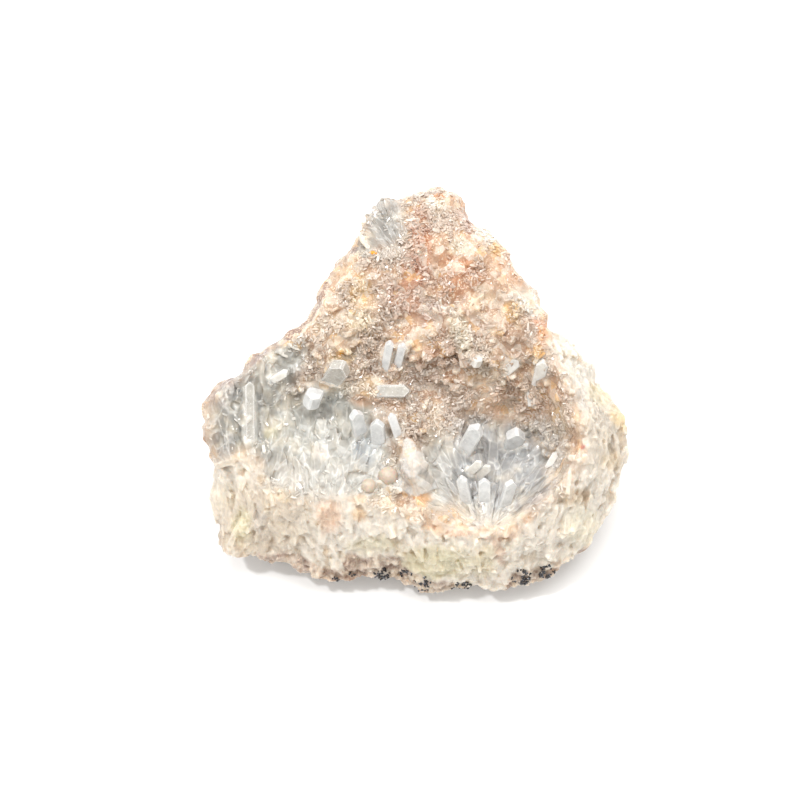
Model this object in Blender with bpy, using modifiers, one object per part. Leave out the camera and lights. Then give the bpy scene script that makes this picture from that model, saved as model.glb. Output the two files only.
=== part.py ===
"""Rough celestite: a broken piece of geode wall, lying on its rind, with a hollow lined by crystals.

The stone is laid out as it is seen: u runs right, v runs up and w comes out of the open face,
all in millimetres from the middle of the face. Everything is then turned so that the rind lies down.
"""

import math

import bmesh
import bpy
import numpy as np
from mathutils import Matrix, Vector, noise
from mathutils.bvhtree import BVHTree

MM = 0.001

# Driving dimensions, in millimetres and degrees
FACE_TILT = 72.0  # the open face looks this far above the horizon, towards -Y
FACE_HEIGHT = 24.0  # middle of the face above the resting surface
EYE_DISTANCE = 290.0  # the outline below is what an eye this far away sees
FIT_GAP = 0.3  # between a crystal and the rock it grew on

# Outline of the stone as it is seen, clockwise from the apex
OUTLINE = [
    (0.5, 37.0), (3.5, 38.0), (6.5, 37.5), (8.5, 36.0), (9.5, 33.0), (11.5, 31.0),
    (13.5, 30.5), (15.5, 29.0), (16.5, 26.5), (19.5, 22.0), (22.0, 18.0), (24.5, 14.0),
    (24.5, 11.5), (27.0, 10.5), (30.0, 8.5), (31.0, 6.0), (33.5, 4.5), (32.5, 1.5),
    (35.0, -1.0), (37.5, -3.0), (39.0, -5.0), (40.0, -8.0), (40.0, -12.5), (38.0, -16.5),
    (37.5, -19.5), (35.5, -22.0), (34.5, -26.0), (33.5, -29.0), (31.5, -31.5), (28.0, -33.0),
    (24.5, -35.0), (20.5, -36.5), (18.0, -36.0), (16.5, -37.5), (12.0, -37.0), (6.5, -37.5),
    (2.0, -38.0), (-1.0, -37.0), (-5.0, -35.0), (-8.5, -35.5), (-12.5, -36.0), (-17.0, -35.5),
    (-20.5, -34.5), (-24.5, -32.5), (-30.5, -31.0), (-35.5, -31.0), (-38.0, -28.0), (-37.0, -25.5),
    (-38.0, -19.5), (-37.5, -16.0), (-39.0, -12.5), (-40.0, -9.5), (-40.0, -6.5), (-39.5, -3.0),
    (-38.0, 0.0), (-33.5, 3.5), (-28.0, 7.5), (-21.0, 13.0), (-19.5, 15.0), (-19.0, 17.5),
    (-15.5, 24.0), (-12.5, 27.0), (-10.0, 29.0), (-9.0, 33.5), (-6.5, 36.0), (-4.0, 36.0),
]

# Crest between the hollow and the broken wall, as (u, v, w), from the left end round to the right
CREST = [
    (-40.0, -15.0, 0.0), (-31.0, -12.5, 3.0), (-27.0, -18.5, 3.5), (-20.0, -20.5, 4.0),
    (-12.0, -20.5, 5.0), (-5.0, -22.0, 5.0), (2.0, -24.5, 5.0), (10.0, -26.5, 5.5),
    (16.0, -26.0, 6.0), (22.0, -23.0, 6.5), (28.0, -18.0, 6.5), (31.0, -13.0, 6.0),
    (31.0, -7.0, 5.0), (29.0, -1.0, 4.0), (27.0, 4.0, 3.0), (24.0, 9.0, 2.0), (26.0, 12.0, 1.0),
]

# Heights of the outer edge of the broken wall, as (u, w): it hangs lowest at the middle of the foot
WALL_EDGE = [(-40.0, -4.5), (-25.0, -6.5), (0.0, -7.5), (24.0, -7.0), (36.0, -5.0), (40.0, -3.0)]

# Swells and hollows of the open face: (u, v) of the middle, its spread along each, turn, height
SWELLS = [
    (17.5, -7.0, 9.0, 10.0, 10.0, -10.0),  # the deep pocket on the right
    (-16.0, -4.0, 9.0, 5.5, -15.0, -4.5),  # the shallow basin on the left
    (0.0, 1.5, 8.0, 4.5, -20.0, -3.5),  # the trough that joins them
    (-0.5, -14.5, 2.3, 6.0, 8.0, 5.5),  # the white fin between pocket and basin
    (-33.0, -4.0, 5.0, 8.0, 0.0, 2.0),  # the blue lobe on the left
    (1.0, 24.0, 9.0, 9.0, 0.0, 3.0),  # the shoulder under the apex
    (-13.0, 13.0, 5.0, 7.0, -35.0, 2.0),  # the upper left shoulder
    (8.0, 10.5, 2.5, 5.0, 25.0, 2.5),  # the pale rib above the pocket
    (19.0, 11.0, 5.0, 4.0, 30.0, 1.5),  # the upper right shoulder
]

APEX_FALL = 3.0  # how far the face leans back from the trough to the apex
CREST_SPREAD = 3.5  # width of the crest's round top
EDGE_FALL, EDGE_WIDTH = 2.2, 2.6  # how the druse rolls over at the free edge
BACK_RISE, BACK_WIDTH = 0.55, 21.0  # the rind curls up to this share of the edge's height
BACK_SHRINK = 0.10  # how far the rind draws in behind the face
BASE_SINK = 1.2  # the rind's lowest stretch is broken off this far up, so the stone lies flat

SLAB = 10.0  # thickness of the blank
BLANK_VOXEL, SKIN_VOXEL = 1.1, 0.85
LUMPS = [(9.0, 0.9), (3.6, 0.4)]  # size and height of the lumps all over the stone
RIND_NODULE, RIND_HEIGHT = 7.0, 1.5
DRUSE_TUFT, DRUSE_HEIGHT = 4.2, 1.9  # tufts of small crystals, up to their tips
WALL_FIBRE, WALL_HEIGHT = 2.6, 1.3  # splintery columns across the broken wall
FIBRE_STRETCH = 3.2  # how much longer than wide a column is
CREST_BLEND = 2.4  # the tufts give way to the columns over this distance from the crest
MATRIX_TRIANGLES = 8000

# Crystals: name, root (u, v), length, width, thickness, bearing, lean out of the face, roll
CRYSTALS = [
    ("long_blade_left", -31.0, -9.0, 10.5, 1.8, 1.2, 90, 6, 10),
    ("white_tablet_left", -26.8, 1.8, 3.6, 1.4, 1.0, 30, 25, 20),
    ("square_crystal_left", -18.8, -0.6, 4.2, 3.2, 2.5, 250, 58, 0),
    ("broad_crystal_left", -15.4, 2.4, 4.4, 3.8, 2.2, 50, 48, 15),
    ("pointed_crystal_basin", -10.5, -7.8, 5.2, 2.6, 1.5, 100, 42, 20),
    ("blade_basin_middle", -6.9, -9.8, 5.2, 2.6, 1.3, 95, 38, -15),
    ("blade_basin_right", -3.3, -8.6, 5.0, 1.6, 1.0, 108, 30, 0),
    ("flat_prism_centre", -6.0, -0.2, 5.0, 2.4, 1.6, 0, 14, 0),
    ("upright_blade_left", -5.6, 5.2, 4.8, 1.6, 1.2, 78, 38, 0),
    ("upright_blade_right", -3.4, 5.0, 4.6, 1.6, 1.2, 74, 38, 0),
    ("prism_pocket_upper", 9.3, -10.8, 6.0, 3.0, 2.0, 62, 40, 0),
    ("crystal_pocket_crown", 18.2, -10.4, 4.6, 3.6, 2.0, 80, 52, 10),
    ("twin_blade_left", 10.0, -15.4, 3.8, 1.6, 0.7, 45, 40, 0),
    ("twin_blade_right", 11.6, -16.2, 3.8, 1.6, 0.7, 45, 40, 0),
    ("fan_blade_left", 9.6, -21.2, 6.4, 2.0, 1.0, 104, 34, -20),
    ("fan_blade_middle", 12.8, -22.0, 6.8, 2.2, 1.0, 92, 36, 0),
    ("fan_blade_right", 16.4, -21.8, 6.2, 2.2, 1.1, 74, 34, 25),
    ("stub_crystal_rib", 11.6, 6.2, 2.8, 2.0, 1.5, 250, 55, 0),
    ("bright_crystal_shoulder", 17.4, 4.0, 3.2, 2.0, 1.3, 42, 40, 0),
    ("thin_blade_shoulder", 21.3, -0.6, 4.0, 1.3, 0.9, 98, 20, 0),
    ("white_crystal_crest", 23.2, 3.0, 3.4, 2.3, 1.5, 80, 42, 0),
    ("white_needle_pocket", 24.6, -14.6, 3.6, 1.3, 0.9, 62, 20, 0),
]
ROOT_DEPTH = 2.5  # how far a crystal is made behind the face before the rock trims it
CHISEL = 0.42  # share of a crystal's width cut away on each side of its chisel tip
EDGE_FACET = 0.14  # share of a crystal's thickness cut off its long edges

# Round beads on the wall: name, (u, v), radius; and the orange grain near the apex
BEADS = [("bead_large", -5.2, -16.1, 1.9), ("bead_small", -8.8, -17.9, 1.4)]
GRAIN = ("orange_grain", -8.0, 25.6, 0.8, 0.5)


def clear_scene():
    for obj in list(bpy.data.objects):
        bpy.data.objects.remove(obj)


def material(name, colour, roughness, transmission=0.0):
    made = bpy.data.materials.new(name)
    made.use_nodes = True
    shader = made.node_tree.nodes["Principled BSDF"]
    shader.inputs["Base Color"].default_value = (*colour, 1.0)
    shader.inputs["Roughness"].default_value = roughness
    shader.inputs["Metallic"].default_value = 0.0
    shader.inputs["Transmission Weight"].default_value = transmission
    return made


def collection(name):
    made = bpy.data.collections.new(name)
    bpy.context.scene.collection.children.link(made)
    return made


def placed(u, v, w):
    """Points of the face as world coordinates in millimetres, drawn together as an eye sees them."""
    tilt = math.radians(FACE_TILT)
    near = 1 - w / EYE_DISTANCE
    x, rise = u * near, v * near
    return np.stack(
        [
            x,
            rise * math.sin(tilt) - w * math.cos(tilt),
            rise * math.cos(tilt) + w * math.sin(tilt) + FACE_HEIGHT,
        ],
        axis=-1,
    )


def seen_from_eye(points):
    """Where world points in millimetres appear on the face: placed() the other way round."""
    tilt = math.radians(FACE_TILT)
    y, z = points[:, 1], points[:, 2] - FACE_HEIGHT
    near = 1 - (z * math.sin(tilt) - y * math.cos(tilt)) / EYE_DISTANCE
    return np.stack([points[:, 0], y * math.sin(tilt) + z * math.cos(tilt)], axis=-1) / near[:, None]


def face_directions():
    """World directions of u, v and w."""
    tilt = math.radians(FACE_TILT)
    right = Vector((1, 0, 0))
    up = Vector((0, math.sin(tilt), math.cos(tilt)))
    out = Vector((0, -math.cos(tilt), math.sin(tilt)))
    return right, up, out


def nearest_on_line(points, line):
    """Distance of each point from a run of straight pieces, with the line's third value there."""
    best = np.full(len(points), 1e9)
    value = np.zeros(len(points))
    for a, b in zip(line[:-1], line[1:]):
        along = b[:2] - a[:2]
        share = np.clip(((points - a[:2]) @ along) / (along @ along), 0, 1)
        gap = np.linalg.norm(points - (a[:2] + share[:, None] * along), axis=1)
        closer = gap < best
        best[closer] = gap[closer]
        value[closer] = (a[2] + share * (b[2] - a[2]))[closer]
    return best, value


def inside(points, ring):
    """Which points lie within a closed ring, by counting the sides that they look across."""
    count = np.zeros(len(points), int)
    for a, b in zip(ring, np.roll(ring, -1, axis=0)):
        crosses = (a[1] > points[:, 1]) != (b[1] > points[:, 1])
        rise = b[1] - a[1] if b[1] != a[1] else 1e-9
        count += crosses & (points[:, 0] < a[0] + (points[:, 1] - a[1]) / rise * (b[0] - a[0]))
    return count % 2 == 1


def smooth(x):
    x = np.clip(x, 0, 1)
    return x * x * (3 - 2 * x)


def hollow_ring():
    """The crest closed over the top of the stone: inside it is the druse, outside the broken wall."""
    crest = np.array(CREST)[:, :2]
    return np.vstack([crest, [(45.0, 45.0), (-45.0, 45.0)]])


def face_height(points):
    """How far the front of the stone stands out at each (u, v)."""
    u, v = points.T
    height = -APEX_FALL * smooth(v / 36.0)
    for mid_u, mid_v, spread_u, spread_v, turn, rise in SWELLS:
        c, s = math.cos(math.radians(turn)), math.sin(math.radians(turn))
        du, dv = u - mid_u, v - mid_v
        across, along = du * c + dv * s, dv * c - du * s
        height += rise * np.exp(-((across / spread_u) ** 2) - (along / spread_v) ** 2)
    edge = np.array([(*p, 0.0) for p in [*OUTLINE, OUTLINE[0]]])
    to_edge, _ = nearest_on_line(points, edge)
    to_crest, crest_height = nearest_on_line(points, np.array(CREST))
    beside = np.exp(-((to_crest / CREST_SPREAD) ** 2))
    roll = EDGE_FALL * (1 - smooth(to_edge / EDGE_WIDTH))
    druse = height * (1 - beside) + crest_height * beside - roll
    share = to_crest / np.maximum(to_crest + to_edge, 1e-6)
    low = np.interp(u, *np.array(WALL_EDGE).T)
    wall = crest_height + (low - crest_height) * share ** 1.25
    return np.where(inside(points, hollow_ring()), druse, wall), to_edge


def rind_height(points, edge_gap, front):
    """The depth w of the rind behind each (u, v), from its height above the resting surface."""
    tilt = math.radians(FACE_TILT)
    front_up = points[:, 1] * math.cos(tilt) + front * math.sin(tilt) + FACE_HEIGHT
    curl = (1 - np.clip(edge_gap / BACK_WIDTH, 0, 1)) ** 2
    up = BACK_RISE * front_up * curl - BASE_SINK
    return (up - FACE_HEIGHT - points[:, 1] * math.cos(tilt)) / math.sin(tilt)


def applied(obj):
    """Replaces the object's mesh with what its modifiers make of it."""
    graph = bpy.context.evaluated_depsgraph_get()
    made = bpy.data.meshes.new_from_object(obj.evaluated_get(graph))
    obj.modifiers.clear()
    obj.data = made
    return obj


def remeshed(obj, voxel):
    modifier = obj.modifiers.new("even_faces", "REMESH")
    modifier.mode = "VOXEL"
    modifier.voxel_size = voxel
    return applied(obj)


def coordinates(mesh):
    points = np.empty(len(mesh.vertices) * 3)
    mesh.vertices.foreach_get("co", points)
    return points.reshape(-1, 3)


def normals(mesh):
    found = np.empty(len(mesh.vertices) * 3)
    mesh.vertices.foreach_get("normal", found)
    return found.reshape(-1, 3)


def set_coordinates(mesh, points):
    mesh.vertices.foreach_set("co", points.ravel())
    mesh.update()


def blank(parts):
    """A slab of the stone's outline, in millimetres, with even faces."""
    curve = bpy.data.curves.new("outline", "CURVE")
    curve.dimensions = "2D"
    curve.fill_mode = "BOTH"
    curve.extrude = SLAB / 2
    spline = curve.splines.new("POLY")
    spline.points.add(len(OUTLINE) - 1)
    for point, (u, v) in zip(spline.points, OUTLINE):
        point.co = (u, v, 0.0, 1.0)
    spline.use_cyclic_u = True
    flat = bpy.data.objects.new("outline", curve)
    bpy.context.scene.collection.objects.link(flat)
    graph = bpy.context.evaluated_depsgraph_get()
    mesh = bpy.data.meshes.new_from_object(flat.evaluated_get(graph))
    bpy.data.objects.remove(flat)
    joined = bmesh.new()
    joined.from_mesh(mesh)
    bmesh.ops.remove_doubles(joined, verts=joined.verts, dist=0.001)
    joined.to_mesh(mesh)
    joined.free()
    slab = bpy.data.objects.new("matrix", mesh)
    parts.objects.link(slab)
    return remeshed(slab, BLANK_VOXEL)


def shape_stone(stone):
    """Bends the blank between the face and the rind, and turns it to lie on the rind."""
    points = coordinates(stone.data)
    depth = np.clip(0.5 - points[:, 2] / SLAB, 0, 1)
    seen = points[:, :2]
    front, edge_gap = face_height(seen)
    back = rind_height(seen, edge_gap, front)
    w = front + (back - front) * depth
    drawn_in = 1 - BACK_SHRINK * depth ** 2
    set_coordinates(stone.data, placed(seen[:, 0] * drawn_in, seen[:, 1] * drawn_in, w))
    return remeshed(stone, SKIN_VOXEL)


def cells(points, size):
    """A bump for each cell of a crazed pattern: 0.5 at its middle, falling in straight slopes."""
    return np.array([0.5 - noise.voronoi(Vector(p) / size)[0][0] for p in points])


def roughen(stone):
    """Gives the surface its lumps, the hollow its tufts, the wall its columns, the rind its nodules."""
    points, outward = coordinates(stone.data), normals(stone.data)
    _, up, out = (np.array(direction) for direction in face_directions())
    rise = np.zeros(len(points))
    for size, height in LUMPS:
        rise += height * np.array([noise.noise(Vector(p) / size) for p in points])
    behind = smooth(0.5 - 1.5 * (outward @ out))
    seen = seen_from_eye(points)
    from_crest, _ = nearest_on_line(seen, np.array(CREST))
    side = np.where(inside(seen, hollow_ring()), 0.5, -0.5)
    in_hollow = (1 - behind) * (0.5 + side * smooth(from_crest / CREST_BLEND))
    on_wall = 1 - behind - in_hollow
    along = np.outer(points @ up, up)
    stretched = points - along * (1 - 1 / FIBRE_STRETCH)
    rise += in_hollow * DRUSE_HEIGHT * cells(points, DRUSE_TUFT)
    rise += on_wall * WALL_HEIGHT * cells(stretched, WALL_FIBRE)
    rise += behind * RIND_HEIGHT * cells(points, RIND_NODULE)
    set_coordinates(stone.data, points + outward * rise[:, None])


def thin_out(stone):
    modifier = stone.modifiers.new("fewer_faces", "DECIMATE")
    modifier.ratio = MATRIX_TRIANGLES / (2 * len(stone.data.polygons))
    modifier.use_collapse_triangulate = True
    return applied(stone)


def break_flat(stone):
    """Cuts the stone flat where it rests."""
    cut = bmesh.new()
    cut.from_mesh(stone.data)
    everything = cut.verts[:] + cut.edges[:] + cut.faces[:]
    bmesh.ops.bisect_plane(
        cut, geom=everything, plane_co=(0, 0, 0), plane_no=(0, 0, -1), clear_outer=True
    )
    rim = [edge for edge in cut.edges if edge.is_boundary]
    bmesh.ops.holes_fill(cut, edges=rim)
    bmesh.ops.recalc_face_normals(cut, faces=cut.faces)
    cut.to_mesh(stone.data)
    cut.free()


def make_matrix(parts):
    stone = shape_stone(blank(parts))
    roughen(stone)
    thin_out(stone)
    break_flat(stone)
    return stone


def face_hit(tree, u, v):
    """Where the eye's line through (u, v) meets the stone."""
    eye = Vector(placed(np.array(0.0), np.array(0.0), np.array(EYE_DISTANCE * 0.999)))
    through = Vector(placed(np.array(u), np.array(v), np.array(0.0)))
    return tree.ray_cast(eye, (through - eye).normalized())[0]


def crystal_mesh(name, length, width, thickness):
    """A tabular crystal along +Z with a chisel tip, from a box with its edges cut away."""
    shape = bmesh.new()
    bmesh.ops.create_cube(shape, size=1.0)
    whole = length + ROOT_DEPTH
    bmesh.ops.scale(shape, vec=(width, thickness, whole), verts=shape.verts)
    bmesh.ops.translate(shape, vec=(0, 0, whole / 2 - ROOT_DEPTH), verts=shape.verts)
    tip = [
        edge
        for edge in shape.edges
        if all(vert.co.z > 0 for vert in edge.verts) and edge.verts[0].co.x == edge.verts[1].co.x
    ]
    bmesh.ops.bevel(shape, geom=tip, offset=CHISEL * width, segments=1, affect="EDGES")
    sides = [
        edge
        for edge in shape.edges
        if edge.verts[0].co.y == edge.verts[1].co.y and min(vert.co.z for vert in edge.verts) < 0
        and max(vert.co.z for vert in edge.verts) > 0
    ]
    bmesh.ops.bevel(shape, geom=sides, offset=EDGE_FACET * thickness, segments=1, affect="EDGES")
    mesh = bpy.data.meshes.new(name)
    shape.to_mesh(mesh)
    shape.free()
    return mesh


def turned_to(bearing, lean, roll):
    """The rotation that points +Z along a bearing on the face, leaning out of it."""
    right, up, out = face_directions()
    bearing, lean = math.radians(bearing), math.radians(lean)
    on_face = right * math.cos(bearing) + up * math.sin(bearing)
    along = on_face * math.cos(lean) + out * math.sin(lean)
    side = on_face.cross(out).normalized()
    basis = Matrix((side, along.cross(side), along)).transposed()
    return (basis @ Matrix.Rotation(math.radians(roll), 3, "Z")).to_4x4()


def swollen_copy(stone, helpers):
    """The matrix grown by the fit gap, which trims the roots of the crystals."""
    mesh = stone.data.copy()
    swollen = bpy.data.objects.new("matrix_and_gap", mesh)
    helpers.objects.link(swollen)
    set_coordinates(mesh, coordinates(mesh) + normals(mesh) * FIT_GAP)
    swollen.hide_render = True
    swollen.display_type = "WIRE"
    return swollen


def trimmed(piece, cutter):
    modifier = piece.modifiers.new("trim_root", "BOOLEAN")
    modifier.operation = "DIFFERENCE"
    modifier.object = cutter
    return piece


def make_crystals(parts, tree, cutter, finish):
    made = []
    for name, u, v, length, width, thickness, bearing, lean, roll in CRYSTALS:
        crystal = bpy.data.objects.new(name, crystal_mesh(name, length, width, thickness))
        crystal.matrix_world = Matrix.Translation(face_hit(tree, u, v)) @ turned_to(bearing, lean, roll)
        crystal.data.materials.append(finish)
        parts.objects.link(crystal)
        made.append(trimmed(crystal, cutter))
    return made


def make_round(parts, tree, cutter, name, u, v, radius, flatness, finish):
    """A bead or grain that sits in the wall, so its hidden side is trimmed away."""
    shape = bmesh.new()
    bmesh.ops.create_uvsphere(shape, u_segments=16, v_segments=10, radius=radius)
    bmesh.ops.scale(shape, vec=(1.0, flatness, flatness), verts=shape.verts)
    mesh = bpy.data.meshes.new(name)
    shape.to_mesh(mesh)
    shape.free()
    mesh.shade_smooth()
    mesh.materials.append(finish)
    bead = bpy.data.objects.new(name, mesh)
    _, _, out = face_directions()
    bead.location = face_hit(tree, u, v) + out * radius * flatness * 0.5
    parts.objects.link(bead)
    return trimmed(bead, cutter)


def to_metres(objects):
    """Shrinks the finished pieces from millimetres, and puts the origin under the middle of the stone."""
    stone = objects[0]
    points = coordinates(stone.data)
    middle = (points.min(axis=0) + points.max(axis=0)) / 2
    shrink = Matrix.Scale(MM, 4) @ Matrix.Translation((-middle[0], -middle[1], 0.0))
    bpy.context.view_layer.update()
    for obj in objects:
        obj.data.transform(shrink @ obj.matrix_world)
        obj.matrix_world = Matrix.Identity(4)


def main():
    clear_scene()
    parts = collection("rough_celestite")
    helpers = collection("cutters")
    stone = make_matrix(parts)
    stone.data.materials.append(material("wall_stone", (0.80, 0.72, 0.62), 0.7))
    clear_blue = material("pale_blue_crystal", (0.80, 0.86, 0.90), 0.12, 0.8)
    buff = material("buff_bead", (0.80, 0.66, 0.52), 0.35)
    orange = material("orange_grain", (0.85, 0.42, 0.06), 0.4)
    tree = BVHTree.FromPolygons(
        [v.co for v in stone.data.vertices], [p.vertices[:] for p in stone.data.polygons]
    )
    cutter = swollen_copy(stone, helpers)
    pieces = make_crystals(parts, tree, cutter, clear_blue)
    for name, u, v, radius in BEADS:
        pieces.append(make_round(parts, tree, cutter, name, u, v, radius, 1.0, buff))
    name, u, v, radius, flatness = GRAIN
    pieces.append(make_round(parts, tree, cutter, name, u, v, radius, flatness, orange))
    for piece in pieces:
        applied(piece)
    to_metres([stone, *pieces])


main()
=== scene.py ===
"""Looks of a piece of rough celestite: the fine skin of the rock, its druse and its clear crystals.

The stone is laid out as it is seen: u runs right, v runs up and w comes out of the open face, in
millimetres from the middle of the face. Points are kept in millimetres until their mesh is made.
"""
import math

import bmesh
import bpy
import numpy as np
from mathutils import Matrix, Vector
from mathutils.bvhtree import BVHTree


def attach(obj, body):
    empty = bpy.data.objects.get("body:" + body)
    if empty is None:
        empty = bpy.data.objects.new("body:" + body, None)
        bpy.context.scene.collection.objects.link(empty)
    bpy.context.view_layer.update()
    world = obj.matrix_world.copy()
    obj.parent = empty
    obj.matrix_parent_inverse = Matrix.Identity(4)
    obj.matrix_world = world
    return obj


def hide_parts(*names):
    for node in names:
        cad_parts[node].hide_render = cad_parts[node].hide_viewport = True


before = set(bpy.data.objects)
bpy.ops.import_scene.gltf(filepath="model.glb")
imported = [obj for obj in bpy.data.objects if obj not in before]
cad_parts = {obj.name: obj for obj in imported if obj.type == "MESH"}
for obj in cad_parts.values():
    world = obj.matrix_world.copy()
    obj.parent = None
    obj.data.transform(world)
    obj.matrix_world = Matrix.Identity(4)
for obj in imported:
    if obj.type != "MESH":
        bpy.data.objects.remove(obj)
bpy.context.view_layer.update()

MM = 0.001

# The face, as the part lays it out, in millimetres and degrees
FACE_TILT = 72.0  # the open face looks this far above the horizon, towards -Y
FACE_HEIGHT = 24.0  # middle of the face above the resting surface
FACE_SHIFT = (0.33, -3.40)  # where the middle of the face lies, in x and y
EYE_DISTANCE = 290.0  # from the eye to the middle of the face
FRAME_WIDTH = 149.6  # what the picture's width spans at the middle of the face
FRAME_MIDDLE = (-2.99, -1.87)  # the (u, v) at the middle of the picture
SENSOR = 36.0

# Crest between the hollow and the broken wall, as (u, v), from the left end round to the right
CREST = [
    (-40.0, -15.0), (-31.0, -12.5), (-27.0, -18.5), (-20.0, -20.5), (-12.0, -20.5), (-5.0, -22.0),
    (2.0, -24.5), (10.0, -26.5), (16.0, -26.0), (22.0, -23.0), (28.0, -18.0), (31.0, -13.0),
    (31.0, -7.0), (29.0, -1.0), (27.0, 4.0), (24.0, 9.0), (26.0, 12.0),
]
CREST_BLEND = 1.6
# Upper edge of the grey-brown rind that shows along the foot
RIND_TOP = [
    (-42.0, -33.0), (-32.9, -30.5), (-24.5, -29.7), (-21.9, -30.5), (-19.4, -32.4), (-13.3, -34.0),
    (-12.7, -30.1), (-3.6, -30.9), (-2.1, -32.5), (0.7, -34.6), (4.5, -35.5), (8.2, -36.1),
    (12.9, -37.6), (16.6, -37.4), (18.0, -34.0), (21.3, -32.9), (25.6, -33.1), (27.5, -31.6),
    (30.0, -30.2), (32.5, -28.8), (34.5, -28.6), (37.0, -27.4), (42.0, -30.0),
]
# Edge of the rind that shows along the upper left
RIND_LINE = [
    (-40.5, -12.0), (-40.5, -5.0), (-38.2, 0.0), (-33.7, 3.7), (-28.2, 7.7), (-21.5, 12.0), (-19.5, 15.0),
    (-18.0, 18.0), (-16.4, 21.0), (-14.4, 24.0), (-11.8, 27.0),
]
LINE_REACH = 1.6  # no loose crystals grow nearer the line than this
LINE_HALF = 0.9  # half of the line's own width
LINE_FADE = 0.5
LINE_STRENGTH = 0.85
RIND_FROM = 0.35  # the rind behind starts where this is more than its rate times the face's own direction
RIND_RATE = 2.8
STRIP_FADE = 0.8

SKIN_VOXEL = 0.3  # fineness of the rock's skin
GROWN_VOXEL = 0.2  # fineness once crystals have grown together with it
ROCK_TRIANGLES = 190000
BLOCK_SINK = 0.9
BLADE_SINK = 0.75
BLADE_RISE = 0.18  # the blades rise out of the stone by this share of the angles listed below
BLADE_CLIMB = 0.7  # the steepest slope of the stone that a blade follows
BLUE_SINK = 0.9  # how deep the roots of the grown crystals lie below the part's surface
DRUSE_SINK = 0.45  # the rock under the druse lies this far below the crystals' tips
FIT_GAP = 0.3  # between a clear crystal and the part's rock
NEAR_RISE = 1.2 * FIT_GAP  # the skin rises by this beside a clear crystal, which closes the gap
NEAR_REACH = 1.4  # how far round a clear crystal the skin rises to meet it
RESTING = 0.05  # below this height the skin keeps to the flat break
COLUMN_STRETCH = 2.6  # how many times longer than wide the relief of the broken wall is

# Relief of the skin by zone: kind, height, size, seed, then octaves of lumps or lean of chips
RELIEF = {
    "druse": [("lumps", 0.4, 3.0, 31, 2), ("chips", 0.22, 0.9, 41, 1.0)],
    "blue": [("chips", 0.3, 2.0, 45, 1.2)],
    "wall": [("lumps", 0.7, 3.0, 55, 2), ("chips", 0.6, 1.5, 51, 1.4)],
    "fine wall": [("lumps", 0.3, 0.8, 61, 2)],
    "chipped wall": [("chips", 0.15, 0.9, 65, 1.2)],
    "strip": [("chips", 0.5, 0.9, 67, 1.4)],
    "rind": [("lumps", 0.35, 2.5, 71, 3), ("chips", 0.3, 1.4, 81, 0.8)],
    "fin": [("chips", 0.15, 1.3, 47, 1.0)],
}

# Colours are written as they look, from 0 to 255
HOLLOW_COLOUR = (203, 174, 152)
WALL_COLOUR = (236, 226, 212)
RIND_COLOUR = (160, 136, 124)
CRUST_DARK = (150, 120, 104)
CRUST_PALE = (226, 206, 186)
RIND_LINE_COLOUR = (158, 137, 130)
BLACK_COLOUR = (34, 34, 38)
CRYSTAL_WHITE = (252, 246, 236)
CREAM = (240, 226, 200)
FLECK_COLOUR = (250, 232, 208)
BLUE_FLECK_COLOUR = (244, 242, 236)
GOLDEN_COLOUR = (228, 186, 132)
GLASSY_COLOUR = (212, 201, 188)  # clearer crystals among the druse
FIN_COLOUR = (230, 226, 221)
STANDING_COLOUR = (226, 219, 208)  # what the crystals that stand out fade towards
# Share of red, green and blue lost in the crevices. Below 0 they are paler: painted light, as light comes
# through and fills the shade there. In the druse, red and green are paler and blue a little deeper. On the
# wall all three are deeper, and in the blue zones all three are paler
DRUSE_CREVICE_TONE_AND_PAINTED_LIGHT = (-0.16, -0.07, 0.03)
WALL_CREVICE_DARKENING = (0.06, 0.12, 0.2)
BLUE_CREVICE_PAINTED_LIGHT = (-0.17, -0.16, -0.14)
CREVICE_FLOOR = -0.6  # height of the deepest crevices on the rock, in millimetres
CREVICE_FADE = 0.7
STANDING_FOOT = 0.1  # crystals are paler from this height on
STANDING_FADE = 0.9
DRUSE_PALE = 0.2  # share of the colour that they fade towards
WALL_PALE = 0.3
HOLLOW_LEVEL = 0.69  # how light the shaders' tints are beside the colours as they look
WALL_LEVEL = 0.75
HOLLOW_DEPTH = 1.05  # and how strong their hues are
BLUE_DEPTH = 0.9
WALL_DEPTH = 0.85
PATCH_EDGE = 0.55  # share of a patch's spread at which it starts to fade
PATCH_FADE = 0.8
EDGE_WANDER = (1.1, 3.0)  # how far the patches' edges wander, and over what length
EDGE_FRAY = (0.35, 0.7)  # and how far they fray

# Grain of the rock, in millimetres: size of the cells with one fleck each, its length and width, shift
FLECK_LAYERS = [(0.55, 0.8, 0.3, 3.0), (0.75, 1.1, 0.34, 17.0), (1.0, 1.5, 0.42, 31.0)]
FLECKS_OVERALL = 0.18  # how much the flecks show
FLECKS_IN_DRUSE = 0.3  # and how much more there
FACET_SIZE = 0.7
FACET_TILT = 0.65  # how far the small facets lean, against 1 along the surface's own direction
WALL_STEADY = 0.3  # how much less they do on the broken wall
GRAIN_BLOCK = 1.7  # size of the golden and glassy grains
VEIL_SIZE = 1.1
GROWTH_LINES = (0.6, 0.9, 0.2, 5.0)  # a layer of flecks within the clear crystals
VEIL_WHITE = (1.0, 1.0, 0.98, 1.0)
# Radius in millimetres of the rounding that finds the clear crystals' edges, where a painted highlight runs
EDGE_HIGHLIGHT_RADIUS = 0.4
CELESTITE_IOR = 1.62
NOISE_RANGE = (0.3, 0.7)  # where most of a noise's values lie
HALF = (0.5, 0.5, 0.5)

# Clear crystals: colour, share that is clear, colour of the light that passes, density of absorption
CLEAR_FINISHES = {
    "clear_crystal": ((240, 242, 243), 0.3, (244, 246, 247), 5.0),
    "dim_crystal": ((212, 208, 200), 0.35, (240, 238, 232), 5.0),
    # White crystals: their own white, and on some a painted highlight in place of a glint
    "white_crystal": ((252, 248, 240), 0.25, (240, 240, 236), 5.0),
}
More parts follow.
